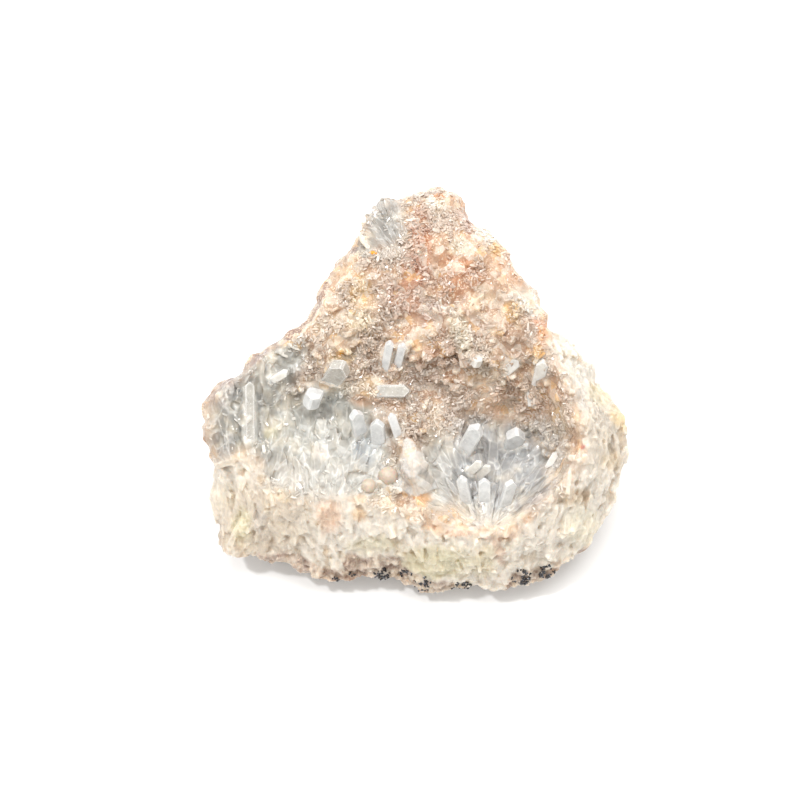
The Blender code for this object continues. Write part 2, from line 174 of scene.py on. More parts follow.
# Beads and grain: colour, roughness, share of the light that goes in
STONE_FINISHES = {
    "bead_skin": ((190, 176, 160), 0.35, 0.5),
    "grain_skin": ((236, 150, 24), 0.3, 0.2),
}

# Studio, in metres and watts
LIGHTS = [
    ("window", (0.15, 0.75, 0.8), 0.8, 0.6, 6.0),  # name, direction, distance, size, power
    ("lamp", (-0.45, 0.4, 0.85), 0.7, 0.05, 2.0),
]
SKY_COLOUR = (1.0, 0.98, 0.94, 1.0)
SKY_STRENGTH = 0.95
FLOOR_SIZE = 3.0
FLOOR_COLOUR = (0.9, 0.9, 0.9, 1.0)

# Scattered pieces
DRUSE_COUNT = 2900  # in each half of the druse
FLECK_SHARE = 0.7  # of the druse crystals that are near white
BLUE_COUNT = 200
BLOCK_COUNT = 300
SPLINTER_COUNT = 560
SPECK_COUNT = 440
# Least and greatest width, thickness and length
DRUSE_SIZES = ((0.2, 0.15, 0.35), (0.4, 0.28, 0.75))
BLUE_SIZES = ((0.9, 0.5, 1.6), (1.9, 0.9, 3.6))
BLOCK_SIZES = ((0.7, 0.6, 1.0), (1.7, 1.2, 2.2))
SPLINTER_SIZES = ((0.6, 0.5, 1.2), (1.5, 1.0, 3.6))
SPECK_SIZES = ((0.16, 0.16, 0.18), (0.44, 0.4, 0.46))
# Halves of the druse: name, from and to which v, seed
DRUSE_HALVES = [("druse_upper", 9, 40, 101), ("druse_lower", -30, 9, 102)]
# Zones of the larger blue-grey crystals: (u, v), spread along each
BLUE_ZONES = [
    (-30.5, -6.5, 8.5, 10.0), (-26.0, 4.0, 5.0, 4.0),  # lobe
    (-17.0, -10.5, 14.0, 10.0),  # basin
    (15.3, -15.5, 10.0, 9.5), (4.0, -15.0, 4.5, 7.0),  # pocket
    (-5.8, 31.2, 3.8, 5.0),  # glassy fan at the top left
]
ZONE_EDGE = 0.8
ZONE_FADE = 0.5
# Where the blue crystals fan out from, as (u, v)
FAN_CENTRES = [(-31.0, -26.0), (-17.0, -26.0), (13.5, -26.0), (-0.5, 22.5)]
FAN_WIDTH = 13.0  # distance from there at which the crystals have their own width
FAN_STRETCH = 3.0
BLUE_GRAIN = 1.9  # how many times coarser the blue crystals are than the druse
BEHIND_REACH = 4.0  # a crystal's tip has the stone within this distance behind it

# Patches of colour on the hollow: (u, v), spread along each, colour, then maybe strength and turn
HOLLOW_PATCHES = [
    (-13, 12, 8, 9, (193, 166, 144)),  # deeper left side of the druse
    (15, 14, 8, 9, (196, 170, 151), 0.8),
    (-30.5, -6.5, 9, 11, (155, 153, 148), 1),  # blue-grey lobe on the left
    (-17, -8, 13, 9, (192, 190, 183), 1),  # basin
    (-20, -17.5, 17, 4, (206, 200, 191), 1, -6),  # milky floor of lobe and basin
    (-12, -15.3, 10, 4.5, (200, 197, 190), 0.9, -5),
    (25.5, -13, 4.5, 8, (216, 203, 190)),  # pale side of the pocket
    (4.6, -15.5, 4.6, 7.5, (204, 199, 190), 1),  # between the fin and the pocket
    (-25.5, 4.8, 6.5, 4.5, (172, 169, 162), 1, 30),  # glassy top of the lobe
    (13, -24.5, 9, 2.5, (232, 222, 212)),
    (15.3, -13.5, 11, 11.5, (182, 182, 182), 1),  # pocket
    # Next patch: paler than the hollow round it, painted light laid over the shaded slope above the pocket
    (18.1, -1.5, 8.5, 4.5, (243, 212, 188)),  # shade above the pocket
    (-5.8, 31.8, 4.4, 5.2, (176, 171, 165), 1),  # glassy fan
    (-10, 26.8, 2.6, 1.9, (186, 181, 173), 0.9, 30),
    (-4.8, 25.2, 2.6, 1.6, (216, 202, 190)),
    (0.8, 30.5, 2.2, 4.4, (188, 132, 102), 1),  # deep pink streak below the apex
    (0.2, 23.6, 3, 4.6, (188, 132, 104), 1),
    (-2, 17.8, 4.2, 4, (200, 156, 132), 0.8, 20),
    (8, 21.5, 5, 4.6, (206, 156, 126), 0.8),
    (5, 13.6, 5, 3, (206, 180, 170), 0.7, -20),
    (10.5, 31, 4, 3.5, (206, 172, 158)),
    (2, 36.8, 6, 1.4, (192, 172, 160)),
    (17.5, 23.5, 3.2, 4.2, (231, 198, 174), 0.8),
    (-10.5, 18.4, 2.4, 3.4, (218, 180, 130), 0.9, -10),  # golden
    (-10.6, 13, 2.5, 2, (226, 200, 164), 0.8),
    (7.9, 26.8, 1.6, 2, (242, 228, 206)),
    (4, 34.8, 1.8, 1, (246, 236, 226)),
    (4.7, 36, 1.1, 0.6, (226, 166, 120)),
    (13.7, 29.2, 2.8, 1.9, (246, 240, 232), 0.9, -35),
    (14.9, 26.2, 1.2, 1.6, (240, 190, 122)),
    (21.2, 16.4, 3.4, 2.4, (246, 241, 232), 0.9, -40),
    (18.2, 15, 1.9, 1.9, (226, 182, 124)),
    (24, 9.8, 1.5, 1.8, (236, 160, 88), 1),
    (22.8, 7, 1.1, 1.5, (236, 188, 124)),
    (23.2, 12.4, 1.7, 0.8, (226, 162, 122), 0.9, -20),
    (5.9, 6.3, 3.8, 4.4, (184, 144, 116)),  # brown behind the rib
    (8, 11, 1.8, 4.4, (226, 212, 190), 0.9, 15),  # pale rib
    (14.5, 10.9, 1.1, 0.9, (226, 207, 182)),
    (17.1, 0.6, 2.7, 2, (190, 152, 126), 0.8),
    (-13.8, 6.1, 2.4, 1.5, (206, 176, 130)),
    (-14.6, 7.2, 0.7, 0.7, (242, 172, 44), 1),
    (-18.2, 3.6, 4.4, 1.6, (166, 141, 121), 0.9, 10),  # brown ledge above the basin
    # Next patch: pale, painted light over the shadow that the brown ledge casts
    (-14.6, -2, 2.2, 2.2, (206, 208, 204)),
    (-8.1, -1.9, 4.6, 1.7, (206, 166, 136)),
    (-8.2, 0.9, 2.5, 2.2, (222, 197, 166), 0.8),
    (-8.1, 3.9, 2.4, 1.5, (164, 134, 114)),
    (-7, -5.8, 2.1, 1.2, (180, 160, 144), 0.8),
    (-0.8, -5.5, 2.4, 3, (172, 147, 127)),
    (1.5, 0.5, 4, 4.5, (192, 168, 152), 0.7),
    (-8.7, -10.6, 3, 3.9, (196, 201, 205), 0.8),
    (-31.8, -13.2, 3.4, 2.6, (222, 197, 172)),
    (-27, -8, 1.7, 1.3, (206, 200, 168), 0.7),
    (-17.6, -11.5, 1.6, 1.8, (236, 231, 226), 0.8),
    (0.9, -20, 1.9, 1.4, (240, 190, 138), 1, -40),
    (-10.3, -20.6, 0.9, 1.1, (236, 196, 158), 0.8),
]

# Patches of colour on the broken wall, in the same form
WALL_PATCHES = [
    (-28.5, -24, 9, 8, (216, 200, 180), 1),  # greyer ends of the wall
    (35, -7, 5, 8, (206, 194, 178), 1, 10),
    (-32.7, -25.6, 1.8, 3.4, (226, 216, 176), 0.8),
    (-37.2, -27, 1.2, 3.2, (172, 156, 141)),
    (-35.5, -20, 2.5, 2.5, (240, 226, 202), 0.7),
    (-16.1, -23.4, 2.4, 3.2, (233, 194, 163), 0.95),
    (-29.2, -16.8, 0.8, 1.3, (222, 190, 148)),
    (-24.5, -20, 1.7, 1, (224, 200, 164)),
    (-16.8, -30.9, 0.5, 2.2, (200, 172, 136)),
    (-29.5, -24, 1.4, 3, (214, 204, 194), 0.7),
    (3, -25.4, 2.3, 1.2, (234, 188, 146), 0.95, -15),
    (1.8, -22.8, 0.9, 1.7, (238, 198, 158), 0.9, 15),
    (-10.8, -23.2, 1, 1.4, (236, 192, 142)),
    (7.9, -26.8, 3.4, 0.6, (216, 168, 138)),
    (12.7, -25.8, 1.1, 0.8, (226, 174, 108)),
    (16.6, -26.9, 3.6, 1.7, (223, 190, 164), 0.9, 15),
    (15.7, -30.5, 1.2, 2.8, (206, 165, 140), 0.8, 20),
    (21.1, -24.1, 1.8, 1, (226, 184, 142), 0.9, 30),
    (26, -16.8, 1.6, 1.3, (216, 185, 148), 0.8),
    (29.2, -20.2, 3.8, 1.6, (213, 186, 150), 0.8),
    (31, -25.6, 3.6, 3.8, (240, 231, 204), 0.7),
    (3.7, -32.2, 7.5, 2.9, (224, 214, 176)),
    (-8, -28.8, 5.2, 1.5, (226, 216, 184), 0.8),
    (12.7, -31.8, 2.3, 3.2, (222, 208, 172), 0.8),
    (38, -5, 1.5, 2.4, (232, 206, 158), 0.9, 35),
    (34.2, -0.8, 2.6, 1.6, (230, 216, 184), 0.9, -35),
    (36.5, -13.3, 2.2, 1.9, (216, 195, 164), 0.8),
    (30.7, -2.6, 1.4, 3, (213, 207, 201), 0.8),
    (31.8, 3.7, 2, 1.9, (206, 201, 191), 0.8),
    (26.5, -3.9, 0.6, 0.6, (190, 108, 46), 1),
    (28, -7.1, 0.6, 1.5, (196, 120, 62), 1, 12),
    (26.4, -0.8, 0.9, 2.2, (229, 194, 148), 0.8, 10),
    (29.4, -10.1, 1.3, 1.8, (229, 180, 150)),
    (30.9, -11, 0.5, 0.4, (214, 76, 74), 1),
]

# Clusters of black specks on the rind: (u, v), radius
BLACK_CLUSTERS = [
    (-15.2, -35.5, 0.7), (-11.8, -34.5, 0.6), (-6.2, -34.4, 1.3), (-1.9, -34.4, 0.9), (0.1, -35.3, 0.6),
    (1.9, -35.6, 0.8), (1.1, -37.0, 1.1), (7.5, -36.7, 0.8), (9.5, -36.4, 0.8), (19.8, -35.0, 1.6),
    (24.3, -34.0, 1.3),
]

# Crystals that stand out of the blue-grey zones: root (u, v), bearing on the face, rise out of it,
# length, width, thickness
BLADES = [
    (-32.0, -0.5, 118, 25, 3.0, 1.5, 0.6),  # fan at the top of the lobe
    (-31.0, -1.5, 100, 30, 3.2, 1.4, 0.6),
    (-33.2, -2.0, 135, 25, 2.6, 1.1, 0.5),
    (-29.8, -1.0, 82, 25, 2.6, 1.0, 0.5),
    (-35.0, -3.5, 120, 15, 2.6, 0.9, 0.4),
    (-36.0, -8.0, 60, 15, 3.2, 1.0, 0.5),
    (-33.5, -8.5, 70, 20, 3.0, 0.9, 0.5),
    (-35.2, -12.0, 95, 15, 3.4, 1.1, 0.5),
    (-32.8, -13.5, 80, 25, 2.8, 0.8, 0.5),
    (-30.6, -13.8, 100, 25, 2.4, 0.7, 0.4),
    (-28.6, -7.0, 74, 20, 4.2, 0.8, 0.5),
    (-27.4, -10.5, 78, 20, 3.6, 0.9, 0.5),
    (-26.0, -3.5, 60, 25, 2.2, 0.9, 0.5),
    (-25.8, 1.6, 35, 30, 1.4, 0.7, 0.4),
    (-24.4, 0.6, 20, 25, 1.0, 0.5, 0.3),
    (-25.4, 7.4, 70, 25, 2.6, 1.9, 0.7),  # pale rounded crystals on the upper edge
    (-23.4, 5.8, 95, 25, 2.4, 1.7, 0.7),
    (-27.8, 4.2, 50, 20, 2.4, 1.2, 0.6),
    (-22.6, -7.6, 98, 22, 4.2, 1.3, 0.6),
    (-21.0, -8.0, 88, 22, 3.8, 0.9, 0.5),
    (-23.6, -12.6, 70, 22, 3.0, 1.2, 0.6),
    (-21.6, -8.4, -10, 15, 2.4, 0.8, 0.5),  # white tablets below the lobe
    (-23.0, -8.9, 15, 15, 1.4, 0.8, 0.4),
    (-17.2, -1.0, 115, 30, 2.6, 1.3, 0.6),
    (-15.6, -2.4, 60, 30, 2.0, 0.8, 0.5),
    (-15.8, -9.4, 92, 18, 4.4, 1.9, 0.8),  # outlined blades of the basin
    (-12.4, -13.4, 88, 15, 5.2, 2.2, 0.9),  # broad blue faces
    (-10.0, -13.6, 80, 15, 5.0, 2.3, 0.9),
    (-8.2, -14.4, 72, 15, 4.6, 2.0, 0.8),
    (-11.0, -8.6, 88, 30, 3.6, 0.8, 0.5),
    (-12.6, -14.2, 62, 25, 2.6, 0.5, 0.4),
    (-6.4, -11.0, 125, 25, 3.4, 0.6, 0.5),
    (-5.6, -10.4, 128, 25, 3.8, 0.6, 0.5),
    (-3.2, -9.2, 120, 25, 4.6, 0.9, 0.6),
    (-18.6, -14.6, 95, 15, 3.6, 1.5, 0.7),
    (-20.6, -14.4, 104, 15, 3.2, 1.3, 0.7),
    (-16.4, -16.4, 84, 15, 3.6, 1.4, 0.7),
    (-24.8, -15.0, 96, 12, 3.6, 1.6, 0.7),
    (2.2, -6.6, 84, 22, 5.0, 1.6, 0.7),  # right of the rib between basin and pocket
    (1.0, -13.0, 70, 20, 3.2, 0.9, 0.5),
    (3.6, -12.4, 66, 25, 4.4, 0.8, 0.5),
    (6.0, -10.6, 78, 25, 4.0, 1.8, 0.8),
    (7.8, -8.4, 70, 28, 3.2, 1.4, 0.7),
    (10.2, -11.2, 66, 30, 3.4, 0.5, 0.4),
    (11.8, -24.0, 96, 25, 8.2, 1.2, 0.8),  # tall fan at the foot of the pocket
    (12.6, -24.4, 88, 28, 8.8, 1.3, 0.8),
    (13.6, -24.4, 80, 28, 8.2, 1.2, 0.8),
    (14.6, -24.0, 70, 25, 7.6, 1.3, 0.8),
    (15.6, -23.4, 60, 22, 7.0, 1.2, 0.7),
    (10.8, -23.6, 106, 22, 7.4, 1.2, 0.7),
    (9.8, -22.6, 116, 20, 6.4, 1.1, 0.7),
    (8.4, -20.4, 122, 18, 5.2, 1.0, 0.6),
    (17.0, -21.4, 56, 20, 4.8, 0.9, 0.6),
    (18.6, -19.8, 60, 22, 3.6, 0.7, 0.5),
    (20.0, -18.4, 66, 22, 3.0, 0.7, 0.5),
    (12.4, -18.8, 90, 35, 2.6, 0.4, 0.4),
    (16.6, -12.2, 40, 25, 3.6, 1.5, 0.7),
    (18.0, -13.6, 20, 20, 4.0, 0.8, 0.5),
    (17.2, -14.6, 12, 20, 4.4, 0.7, 0.5),
    (21.0, -10.0, 60, 25, 2.4, 1.2, 0.6),
    (24.2, -15.2, 54, 20, 4.0, 1.3, 0.7),  # pointed crystal on the right wall of the pocket
    (22.4, -16.2, 70, 20, 2.8, 0.8, 0.5),
    (21.6, -5.6, -6, 15, 2.0, 0.9, 0.5),
    (20.8, -4.4, 75, 20, 1.8, 0.4, 0.3),
    (21.8, -3.8, 80, 20, 1.4, 0.4, 0.3),
    (22.6, -9.4, 40, 25, 2.0, 0.6, 0.4),
    (-3.6, 29.0, 116, 14, 6.0, 1.3, 0.8),  # glassy fan at the top left
    (-4.6, 28.0, 120, 10, 7.2, 1.5, 0.8),
    (-5.8, 27.2, 122, 14, 6.8, 1.4, 0.8),
    (-7.0, 26.8, 125, 10, 5.6, 1.4, 0.8),
    (-8.0, 26.0, 128, 14, 4.4, 1.2, 0.7),
    (-9.4, 25.2, 132, 10, 3.0, 1.1, 0.6),
    (-4.6, 33.0, 110, 12, 3.6, 1.2, 0.7),
    (-6.2, 31.6, 126, 16, 3.8, 1.1, 0.7),
]

# Outline of the white fin between basin and pocket, as (u, v)
FIN_OUTLINE = [
    (-4.6, -18.4), (-3.4, -16.0), (-3.6, -14.9), (-3.1, -13.0), (-2.6, -11.6), (-2.3, -9.6), (-1.7, -8.8),
    (-0.2, -9.9), (0.2, -11.2), (1.2, -11.9), (1.8, -13.2), (2.8, -15.2), (4.4, -18.4), (0.0, -20.0),
]
FIN_RISE = 0.5  # how far the fin stands out of the face
FIN_FOOT = -18.0  # below this v it runs into the wall
FIN_EASE = 5.0
FIN_STRENGTH = 0.9

# Crystals that are white rather than clear. Their white is partly their own and partly a painted highlight
# standing in for a glint, as on the twin blades
WHITE_AND_PAINTED_GLINT_CRYSTALS = [
    "white_tablet_left", "bright_crystal_shoulder", "thin_blade_shoulder", "white_crystal_crest",
    "white_needle_pocket", "stub_crystal_rib", "twin_blade_left", "twin_blade_right",
]

# And those that look greyer than the rest
DIM_CRYSTALS = ["flat_prism_centre", "long_blade_left", "broad_crystal_left"]


def face_directions():
    """World directions of u, v and w."""
    tilt = math.radians(FACE_TILT)
    right = np.array([1.0, 0.0, 0.0])
    up = np.array([0.0, math.sin(tilt), math.cos(tilt)])
    out = np.array([0.0, -math.cos(tilt), math.sin(tilt)])
    return right, up, out


RIGHT, UP, OUT = face_directions()
FACE_CENTRE = np.array([*FACE_SHIFT, FACE_HEIGHT])
EYE = FACE_CENTRE + OUT * EYE_DISTANCE


def seen_from_eye(points):
    """Where points appear on the face, as (u, v)."""
    local = points - FACE_CENTRE
    near = 1 - (local @ OUT) / EYE_DISTANCE
    return np.stack([local @ RIGHT, local @ UP], axis=-1) / near[:, None]


def smooth(x):
    x = np.clip(x, 0, 1)
    return x * x * (3 - 2 * x)


def linear(colour):
    """A colour written as it looks, as the amounts of light that the shaders take."""
    share = np.asarray(colour, float) / 255
    return np.where(share <= 0.04045, share / 12.92, ((share + 0.055) / 1.055) ** 2.4)


def hashed(cell, seed):
    """A repeatable number from 0 to 1 for each cell of a lattice."""
    x, y, z = (cell[..., k].astype(np.uint64) for k in range(3))
    mask = np.uint64(0xFFFFFFFF)
    h = x * np.uint64(374761393) + y * np.uint64(668265263) + z * np.uint64(1440662683)
    h = (h + np.uint64(seed * 974634777 + 12345)) & mask
    for multiplier, shift in ((1274126177, 13), (2246822519, 16), (3266489917, 15)):
        h = ((h ^ (h >> np.uint64(shift))) * np.uint64(multiplier)) & mask
    return (h ^ (h >> np.uint64(16))).astype(float) / 0xFFFFFFFF


def lattice_noise(points, size, seed):
    """Smooth noise from -1 to 1 with features of about that size."""
    scaled = points / size + 1000
    base = np.floor(scaled).astype(np.int64)
    share = smooth(scaled - base)
    total = np.zeros(len(points))
    for corner in range(8):
        offset = np.array([(corner >> k) & 1 for k in range(3)])
        weight = np.prod(np.where(offset, share, 1 - share), axis=1)
        total += weight * hashed(base + offset, seed)
    return 2 * total - 1


def rough_noise(points, size, seed, octaves=3):
    total = np.zeros(len(points))
    for octave in range(octaves):
        total += 0.5 ** octave * lattice_noise(points, size / 2 ** octave, seed + octave)
    return total / (2 - 0.5 ** (octaves - 1))


def broken_facets(points, size, seed, lean):
    """Height of a surface of tilted flat chips, each about that size, in chip sizes."""
    scaled = points / size + 1000
    base = np.floor(scaled).astype(np.int64)
    nearest = np.full(len(points), 1e9)
    height = np.zeros(len(points))
    for step in np.ndindex(3, 3, 3):
        cell = base + np.array(step) - 1
        middle = cell + np.stack([hashed(cell, seed + k) for k in range(3)], axis=-1)
        away = scaled - middle
        gap = (away ** 2).sum(axis=1)
        slope = np.stack([hashed(cell, seed + 3 + k) for k in range(3)], axis=-1) - 0.5
        rise = hashed(cell, seed + 6) - 0.5 + lean * (away * slope).sum(axis=1)
        closer = gap < nearest
        nearest[closer] = gap[closer]
        height[closer] = rise[closer]
    return height


def nearest_on_line(points, line):
    """Distance of each point from a run of straight pieces."""
    line = np.array(line)
    best = np.full(len(points), 1e9)
    for a, b in zip(line[:-1], line[1:]):
        along = b - a
        share = np.clip(((points - a) @ along) / (along @ along), 0, 1)
        best = np.minimum(best, np.linalg.norm(points - (a + share[:, None] * along), axis=1))
    return best


def inside(points, ring):
    """Which points lie within a closed ring, by counting the sides that they look across."""
    ring = np.array(ring)
    count = np.zeros(len(points), int)
    for a, b in zip(ring, np.roll(ring, -1, axis=0)):
        crosses = (a[1] > points[:, 1]) != (b[1] > points[:, 1])
        rise = b[1] - a[1] if b[1] != a[1] else 1e-9
        count += crosses & (points[:, 0] < a[0] + (points[:, 1] - a[1]) / rise * (b[0] - a[0]))
    return count % 2 == 1


def patch_weight(seen, mid_u, mid_v, spread_u, spread_v, strength=0.9, turn=0):
    """How strongly a patch shows at each (u, v)."""
    c, s = math.cos(math.radians(turn)), math.sin(math.radians(turn))
    du, dv = seen[:, 0] - mid_u, seen[:, 1] - mid_v
    away = np.hypot((du * c + dv * s) / spread_u, (dv * c - du * s) / spread_v)
    return strength * (1 - smooth((away - PATCH_EDGE) / PATCH_FADE))


def painted(colour, seen, patches):
    """The ground colour of each point, with the patches laid over it in turn."""
    colour = np.tile(linear(colour), (len(seen), 1))
    for mid_u, mid_v, spread_u, spread_v, over, *rest in patches:
        weight = patch_weight(seen, mid_u, mid_v, spread_u, spread_v, *rest)[:, None]
        colour = colour * (1 - weight) + linear(over) * weight
    return colour


def ragged(points, seen):
    """The (u, v) of each point moved about a little, so that patches get ragged edges."""
    wander, wander_size = EDGE_WANDER
    fray, fray_size = EDGE_FRAY
    shift = [
        wander * rough_noise(points, wander_size, seed) + fray * lattice_noise(points, fray_size, seed + 9)
        for seed in (11, 21)
    ]
    return seen + np.stack(shift, axis=-1)


def regions(points, outward):
    """How much of each point belongs to the hollow, to the broken wall and to the rind."""
    seen = seen_from_eye(points)
    behind = smooth(RIND_FROM - RIND_RATE * (outward @ OUT))
    from_crest = nearest_on_line(seen, CREST)
    side = np.where(inside(seen, [*CREST, (45.0, 45.0), (-45.0, 45.0)]), 0.5, -0.5)
    hollow = (1 - behind) * (0.5 + side * smooth(from_crest / CREST_BLEND))
    return hollow, 1 - behind - hollow, behind


def mottled(colour, points):
    """Colour varied a little at the scale of clumps and of single crystals."""
    clumps = 1 + 0.09 * rough_noise(points, 3.2, 131) + 0.06 * lattice_noise(points, 0.8, 137)
    cream = np.clip(0.5 * rough_noise(points, 4.5, 141) + 0.2 * lattice_noise(points, 1.0, 149), 0, 0.3)
    colour = colour * clumps[:, None]
    return colour + cream[:, None] * (linear(CREAM) - colour)


def ground_colour(points, outward):
    """The colour of the stone at each point. Light that bounces in its hollows deepens it."""
    exact = seen_from_eye(points)
    seen = ragged(points, exact)
    hollow, wall, behind = regions(points, outward)
    colour = painted(HOLLOW_COLOUR, seen, HOLLOW_PATCHES)
    fin = FIN_STRENGTH * inside(exact, FIN_OUTLINE)[:, None]
    colour = hollow[:, None] * (colour * (1 - fin) + linear(FIN_COLOUR) * fin)
    colour += wall[:, None] * painted(WALL_COLOUR, seen, WALL_PATCHES)
    colour += behind[:, None] * linear(RIND_COLOUR)
    strip = rind_strip(seen) * wall
    line = 1 - smooth((nearest_on_line(exact, RIND_LINE) - LINE_HALF) / LINE_FADE)
    crust = smooth(0.5 + 1.2 * rough_noise(points, 1.2, 151))[:, None]
    crust = linear(CRUST_DARK) * (1 - crust) + linear(CRUST_PALE) * crust
    colour += strip[:, None] * (crust - colour)
    colour += (LINE_STRENGTH * line * (1 - wall))[:, None] * (linear(RIND_LINE_COLOUR) - colour)
    grey = colour.mean(axis=1)[:, None]
    level = WALL_LEVEL + (HOLLOW_LEVEL - WALL_LEVEL) * hollow[:, None]
    blue = hollow * blue_zone(seen)
    depth = WALL_DEPTH * (1 - hollow) + HOLLOW_DEPTH * (hollow - blue) + BLUE_DEPTH * blue
    depth = depth[:, None]
    return mottled(level * (grey + depth * (colour - grey)), points)


def crevice_tone_and_painted_light(colour, height, points, hollow, wall):
    """Colours in the crevices: deeper and warmer on the wall, and paler in the blue zones and in the druse's
    red and green, which is painted light over their shade; and paler on what stands out.
    """
    blue = hollow * blue_zone(seen_from_eye(points))
    druse = hollow - blue
    low = (1 - smooth((height - CREVICE_FLOOR) / CREVICE_FADE))[:, None]
    high = smooth((height - STANDING_FOOT) / STANDING_FADE)[:, None]
    crevice_shift = np.ones(3) - np.outer(druse, DRUSE_CREVICE_TONE_AND_PAINTED_LIGHT) - np.outer(wall, WALL_CREVICE_DARKENING)
    crevice_shift -= np.outer(blue, BLUE_CREVICE_PAINTED_LIGHT)
    pale = (DRUSE_PALE * druse + WALL_PALE * wall)[:, None] * high
    # Crevices take their tone here. Where a share is below 0, this paints light into their shade
    colour = colour * (1 - low * (1 - crevice_shift))
    return colour + pale * (linear(STANDING_COLOUR) - colour)


def coordinates(mesh):
    points = np.empty(len(mesh.vertices) * 3)
    mesh.vertices.foreach_get("co", points)
    return points.reshape(-1, 3)


def normals(mesh):
    found = np.empty(len(mesh.vertices) * 3)
    mesh.vertices.foreach_get("normal", found)
    return found.reshape(-1, 3)


def set_coordinates(mesh, points):
    mesh.vertices.foreach_set("co", points.ravel())
    mesh.update()


def set_tint(mesh, colour, name="tint"):
    """Stores a colour at each point of the mesh, for its material to read."""
    layer = mesh.attributes.new(name, "FLOAT_COLOR", "POINT")
    layer.data.foreach_set("color", np.hstack([colour, np.ones((len(colour), 1))]).ravel())


def set_grain(mesh, points, hollow, wall):
    """Stores what the rock's material lays its grain by: places drawn out along the crystals, and zones."""
    blue = hollow * blue_zone(seen_from_eye(points))
    place = np.where((wall > 0.5)[:, None], columns(points), points)
    place = np.where((blue > 0.5)[:, None], fanned(points) / BLUE_GRAIN, place)
    layer = mesh.attributes.new("grain_place", "FLOAT_VECTOR", "POINT")
    layer.data.foreach_set("vector", place.ravel())
    set_tint(mesh, np.stack([hollow - blue, blue, wall], axis=1), "zones")


def shown(name, mesh, finish):
    """Makes an object of a mesh in millimetres, which rides with the stone."""
    mesh.transform(Matrix.Scale(MM, 4))
    mesh.materials.clear()
    mesh.materials.append(finish)
    piece = bpy.data.objects.new(name, mesh)
    bpy.context.scene.collection.objects.link(piece)
    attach(piece, "root")
    return piece


def evaluated(mesh, add_modifiers):
    """The mesh after modifiers that a function adds to its object."""
    holder = bpy.data.objects.new("unfinished", mesh)
    bpy.context.scene.collection.objects.link(holder)
    add_modifiers(holder)
    made = bpy.data.meshes.new_from_object(holder.evaluated_get(bpy.context.evaluated_depsgraph_get()))
    bpy.data.objects.remove(holder)
    return made


def even_faces(mesh, voxel):
    def add(holder):
        modifier = holder.modifiers.new("even_faces", "REMESH")
        modifier.mode = "VOXEL"
        modifier.voxel_size = voxel
    return evaluated(mesh, add)


def fewer_faces(mesh, triangles):
    def add(holder):
        modifier = holder.modifiers.new("fewer_faces", "DECIMATE")
        modifier.ratio = triangles / (2 * len(mesh.polygons))
    return evaluated(mesh, add)


def part_mesh():
    """The part's rock in millimetres."""
    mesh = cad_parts["matrix"].data.copy()
    mesh.transform(Matrix.Scale(1 / MM, 4))
    return mesh


def joined_meshes(meshes):
    shell = bmesh.new()
    for mesh in meshes:
        shell.from_mesh(mesh)
    made = bpy.data.meshes.new("joined")
    shell.to_mesh(made)
    shell.free()
    return made


def clear_crystal_tree():
    """A tree of the faces of the part's clear crystals, in millimetres."""
    points, faces = [], []
    for name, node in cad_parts.items():
        if name == "matrix":
            continue
        start = len(points)
        points += [v.co / MM for v in node.data.vertices]
        faces += [tuple(start + k for k in p.vertices) for p in node.data.polygons]
    return BVHTree.FromPolygons(points, faces)


def near_crystals(points):
    """How near each point is to a clear crystal of the part: 1 beside it, 0 from NEAR_REACH away."""
    tree = clear_crystal_tree()
    gap = np.full(len(points), NEAR_REACH)
    for index, point in enumerate(points.tolist()):
        found = tree.find_nearest(point, NEAR_REACH)
        if found[3] is not None:
            gap[index] = found[3]
    return 1 - smooth(gap / NEAR_REACH)


def columns(points):
    """Points drawn together along the columns of the broken wall, which makes noise there run lengthwise."""
    return points - np.outer(points @ UP, UP) * (1 - 1 / COLUMN_STRETCH)


def nearest_fan(seen):
    """Distance and angle of each (u, v) from the foot of the nearest fan of crystals."""
    far = np.full(len(seen), 1e9)
    angle = np.zeros(len(seen))
    for centre in FAN_CENTRES:
        step = seen - np.array(centre)
        length = np.linalg.norm(step, axis=1)
        closer = length < far
        far[closer] = length[closer]
        angle[closer] = np.arctan2(step[closer, 1], step[closer, 0])
    return far, angle


def fanned(points):
    """Points laid out by angle and distance in their fan, so that noise there runs along its crystals."""
    far, angle = nearest_fan(seen_from_eye(points))
    return np.stack([angle * FAN_WIDTH, far / FAN_STRETCH, (points @ OUT) / FAN_STRETCH], axis=1)


def relief(points, zone_name):
    """Height of a zone's lumps and chips at each point."""
    rise = np.zeros(len(points))
    for kind, height, size, seed, form in RELIEF[zone_name]:
        shape = rough_noise if kind == "lumps" else broken_facets
        rise += height * shape(points, size, seed, form)
    return rise


def skin_rise(points, outward, near):
    """How far the fine skin stands out from the part's rock."""
    seen = seen_from_eye(points)
    hollow, wall, behind = regions(points, outward)
    blue = hollow * blue_zone(seen)
    stretched = columns(points)
    rise = -DRUSE_SINK * hollow * (1 - near) + NEAR_RISE * near
    rise += (hollow - blue) * relief(points, "druse")
    rise += blue * relief(fanned(points), "blue")
    rise += wall * relief(stretched, "wall")
    rise += wall * (relief(stretched, "fine wall") + relief(points, "chipped wall"))
    rise += wall * rind_strip(seen) * relief(points, "strip")
    rise += behind * relief(points, "rind")
    plate = FIN_RISE * smooth((seen[:, 1] - FIN_FOOT) / FIN_EASE) + relief(points, "fin")
    return np.where(inside(seen, FIN_OUTLINE), plate, rise)


def make_skin():
    """The rock's fine skin, which stays flat where the stone rests."""
    mesh = even_faces(part_mesh(), SKIN_VOXEL)
    points, outward = coordinates(mesh), normals(mesh)
    flat = points[:, 2] < RESTING
    rise = np.where(flat, 0.0, skin_rise(points, outward, near_crystals(points)))
    moved = points + outward * rise[:, None]
    moved[:, 2] = np.maximum(moved[:, 2], 0.0)
    set_coordinates(mesh, moved)
    return mesh


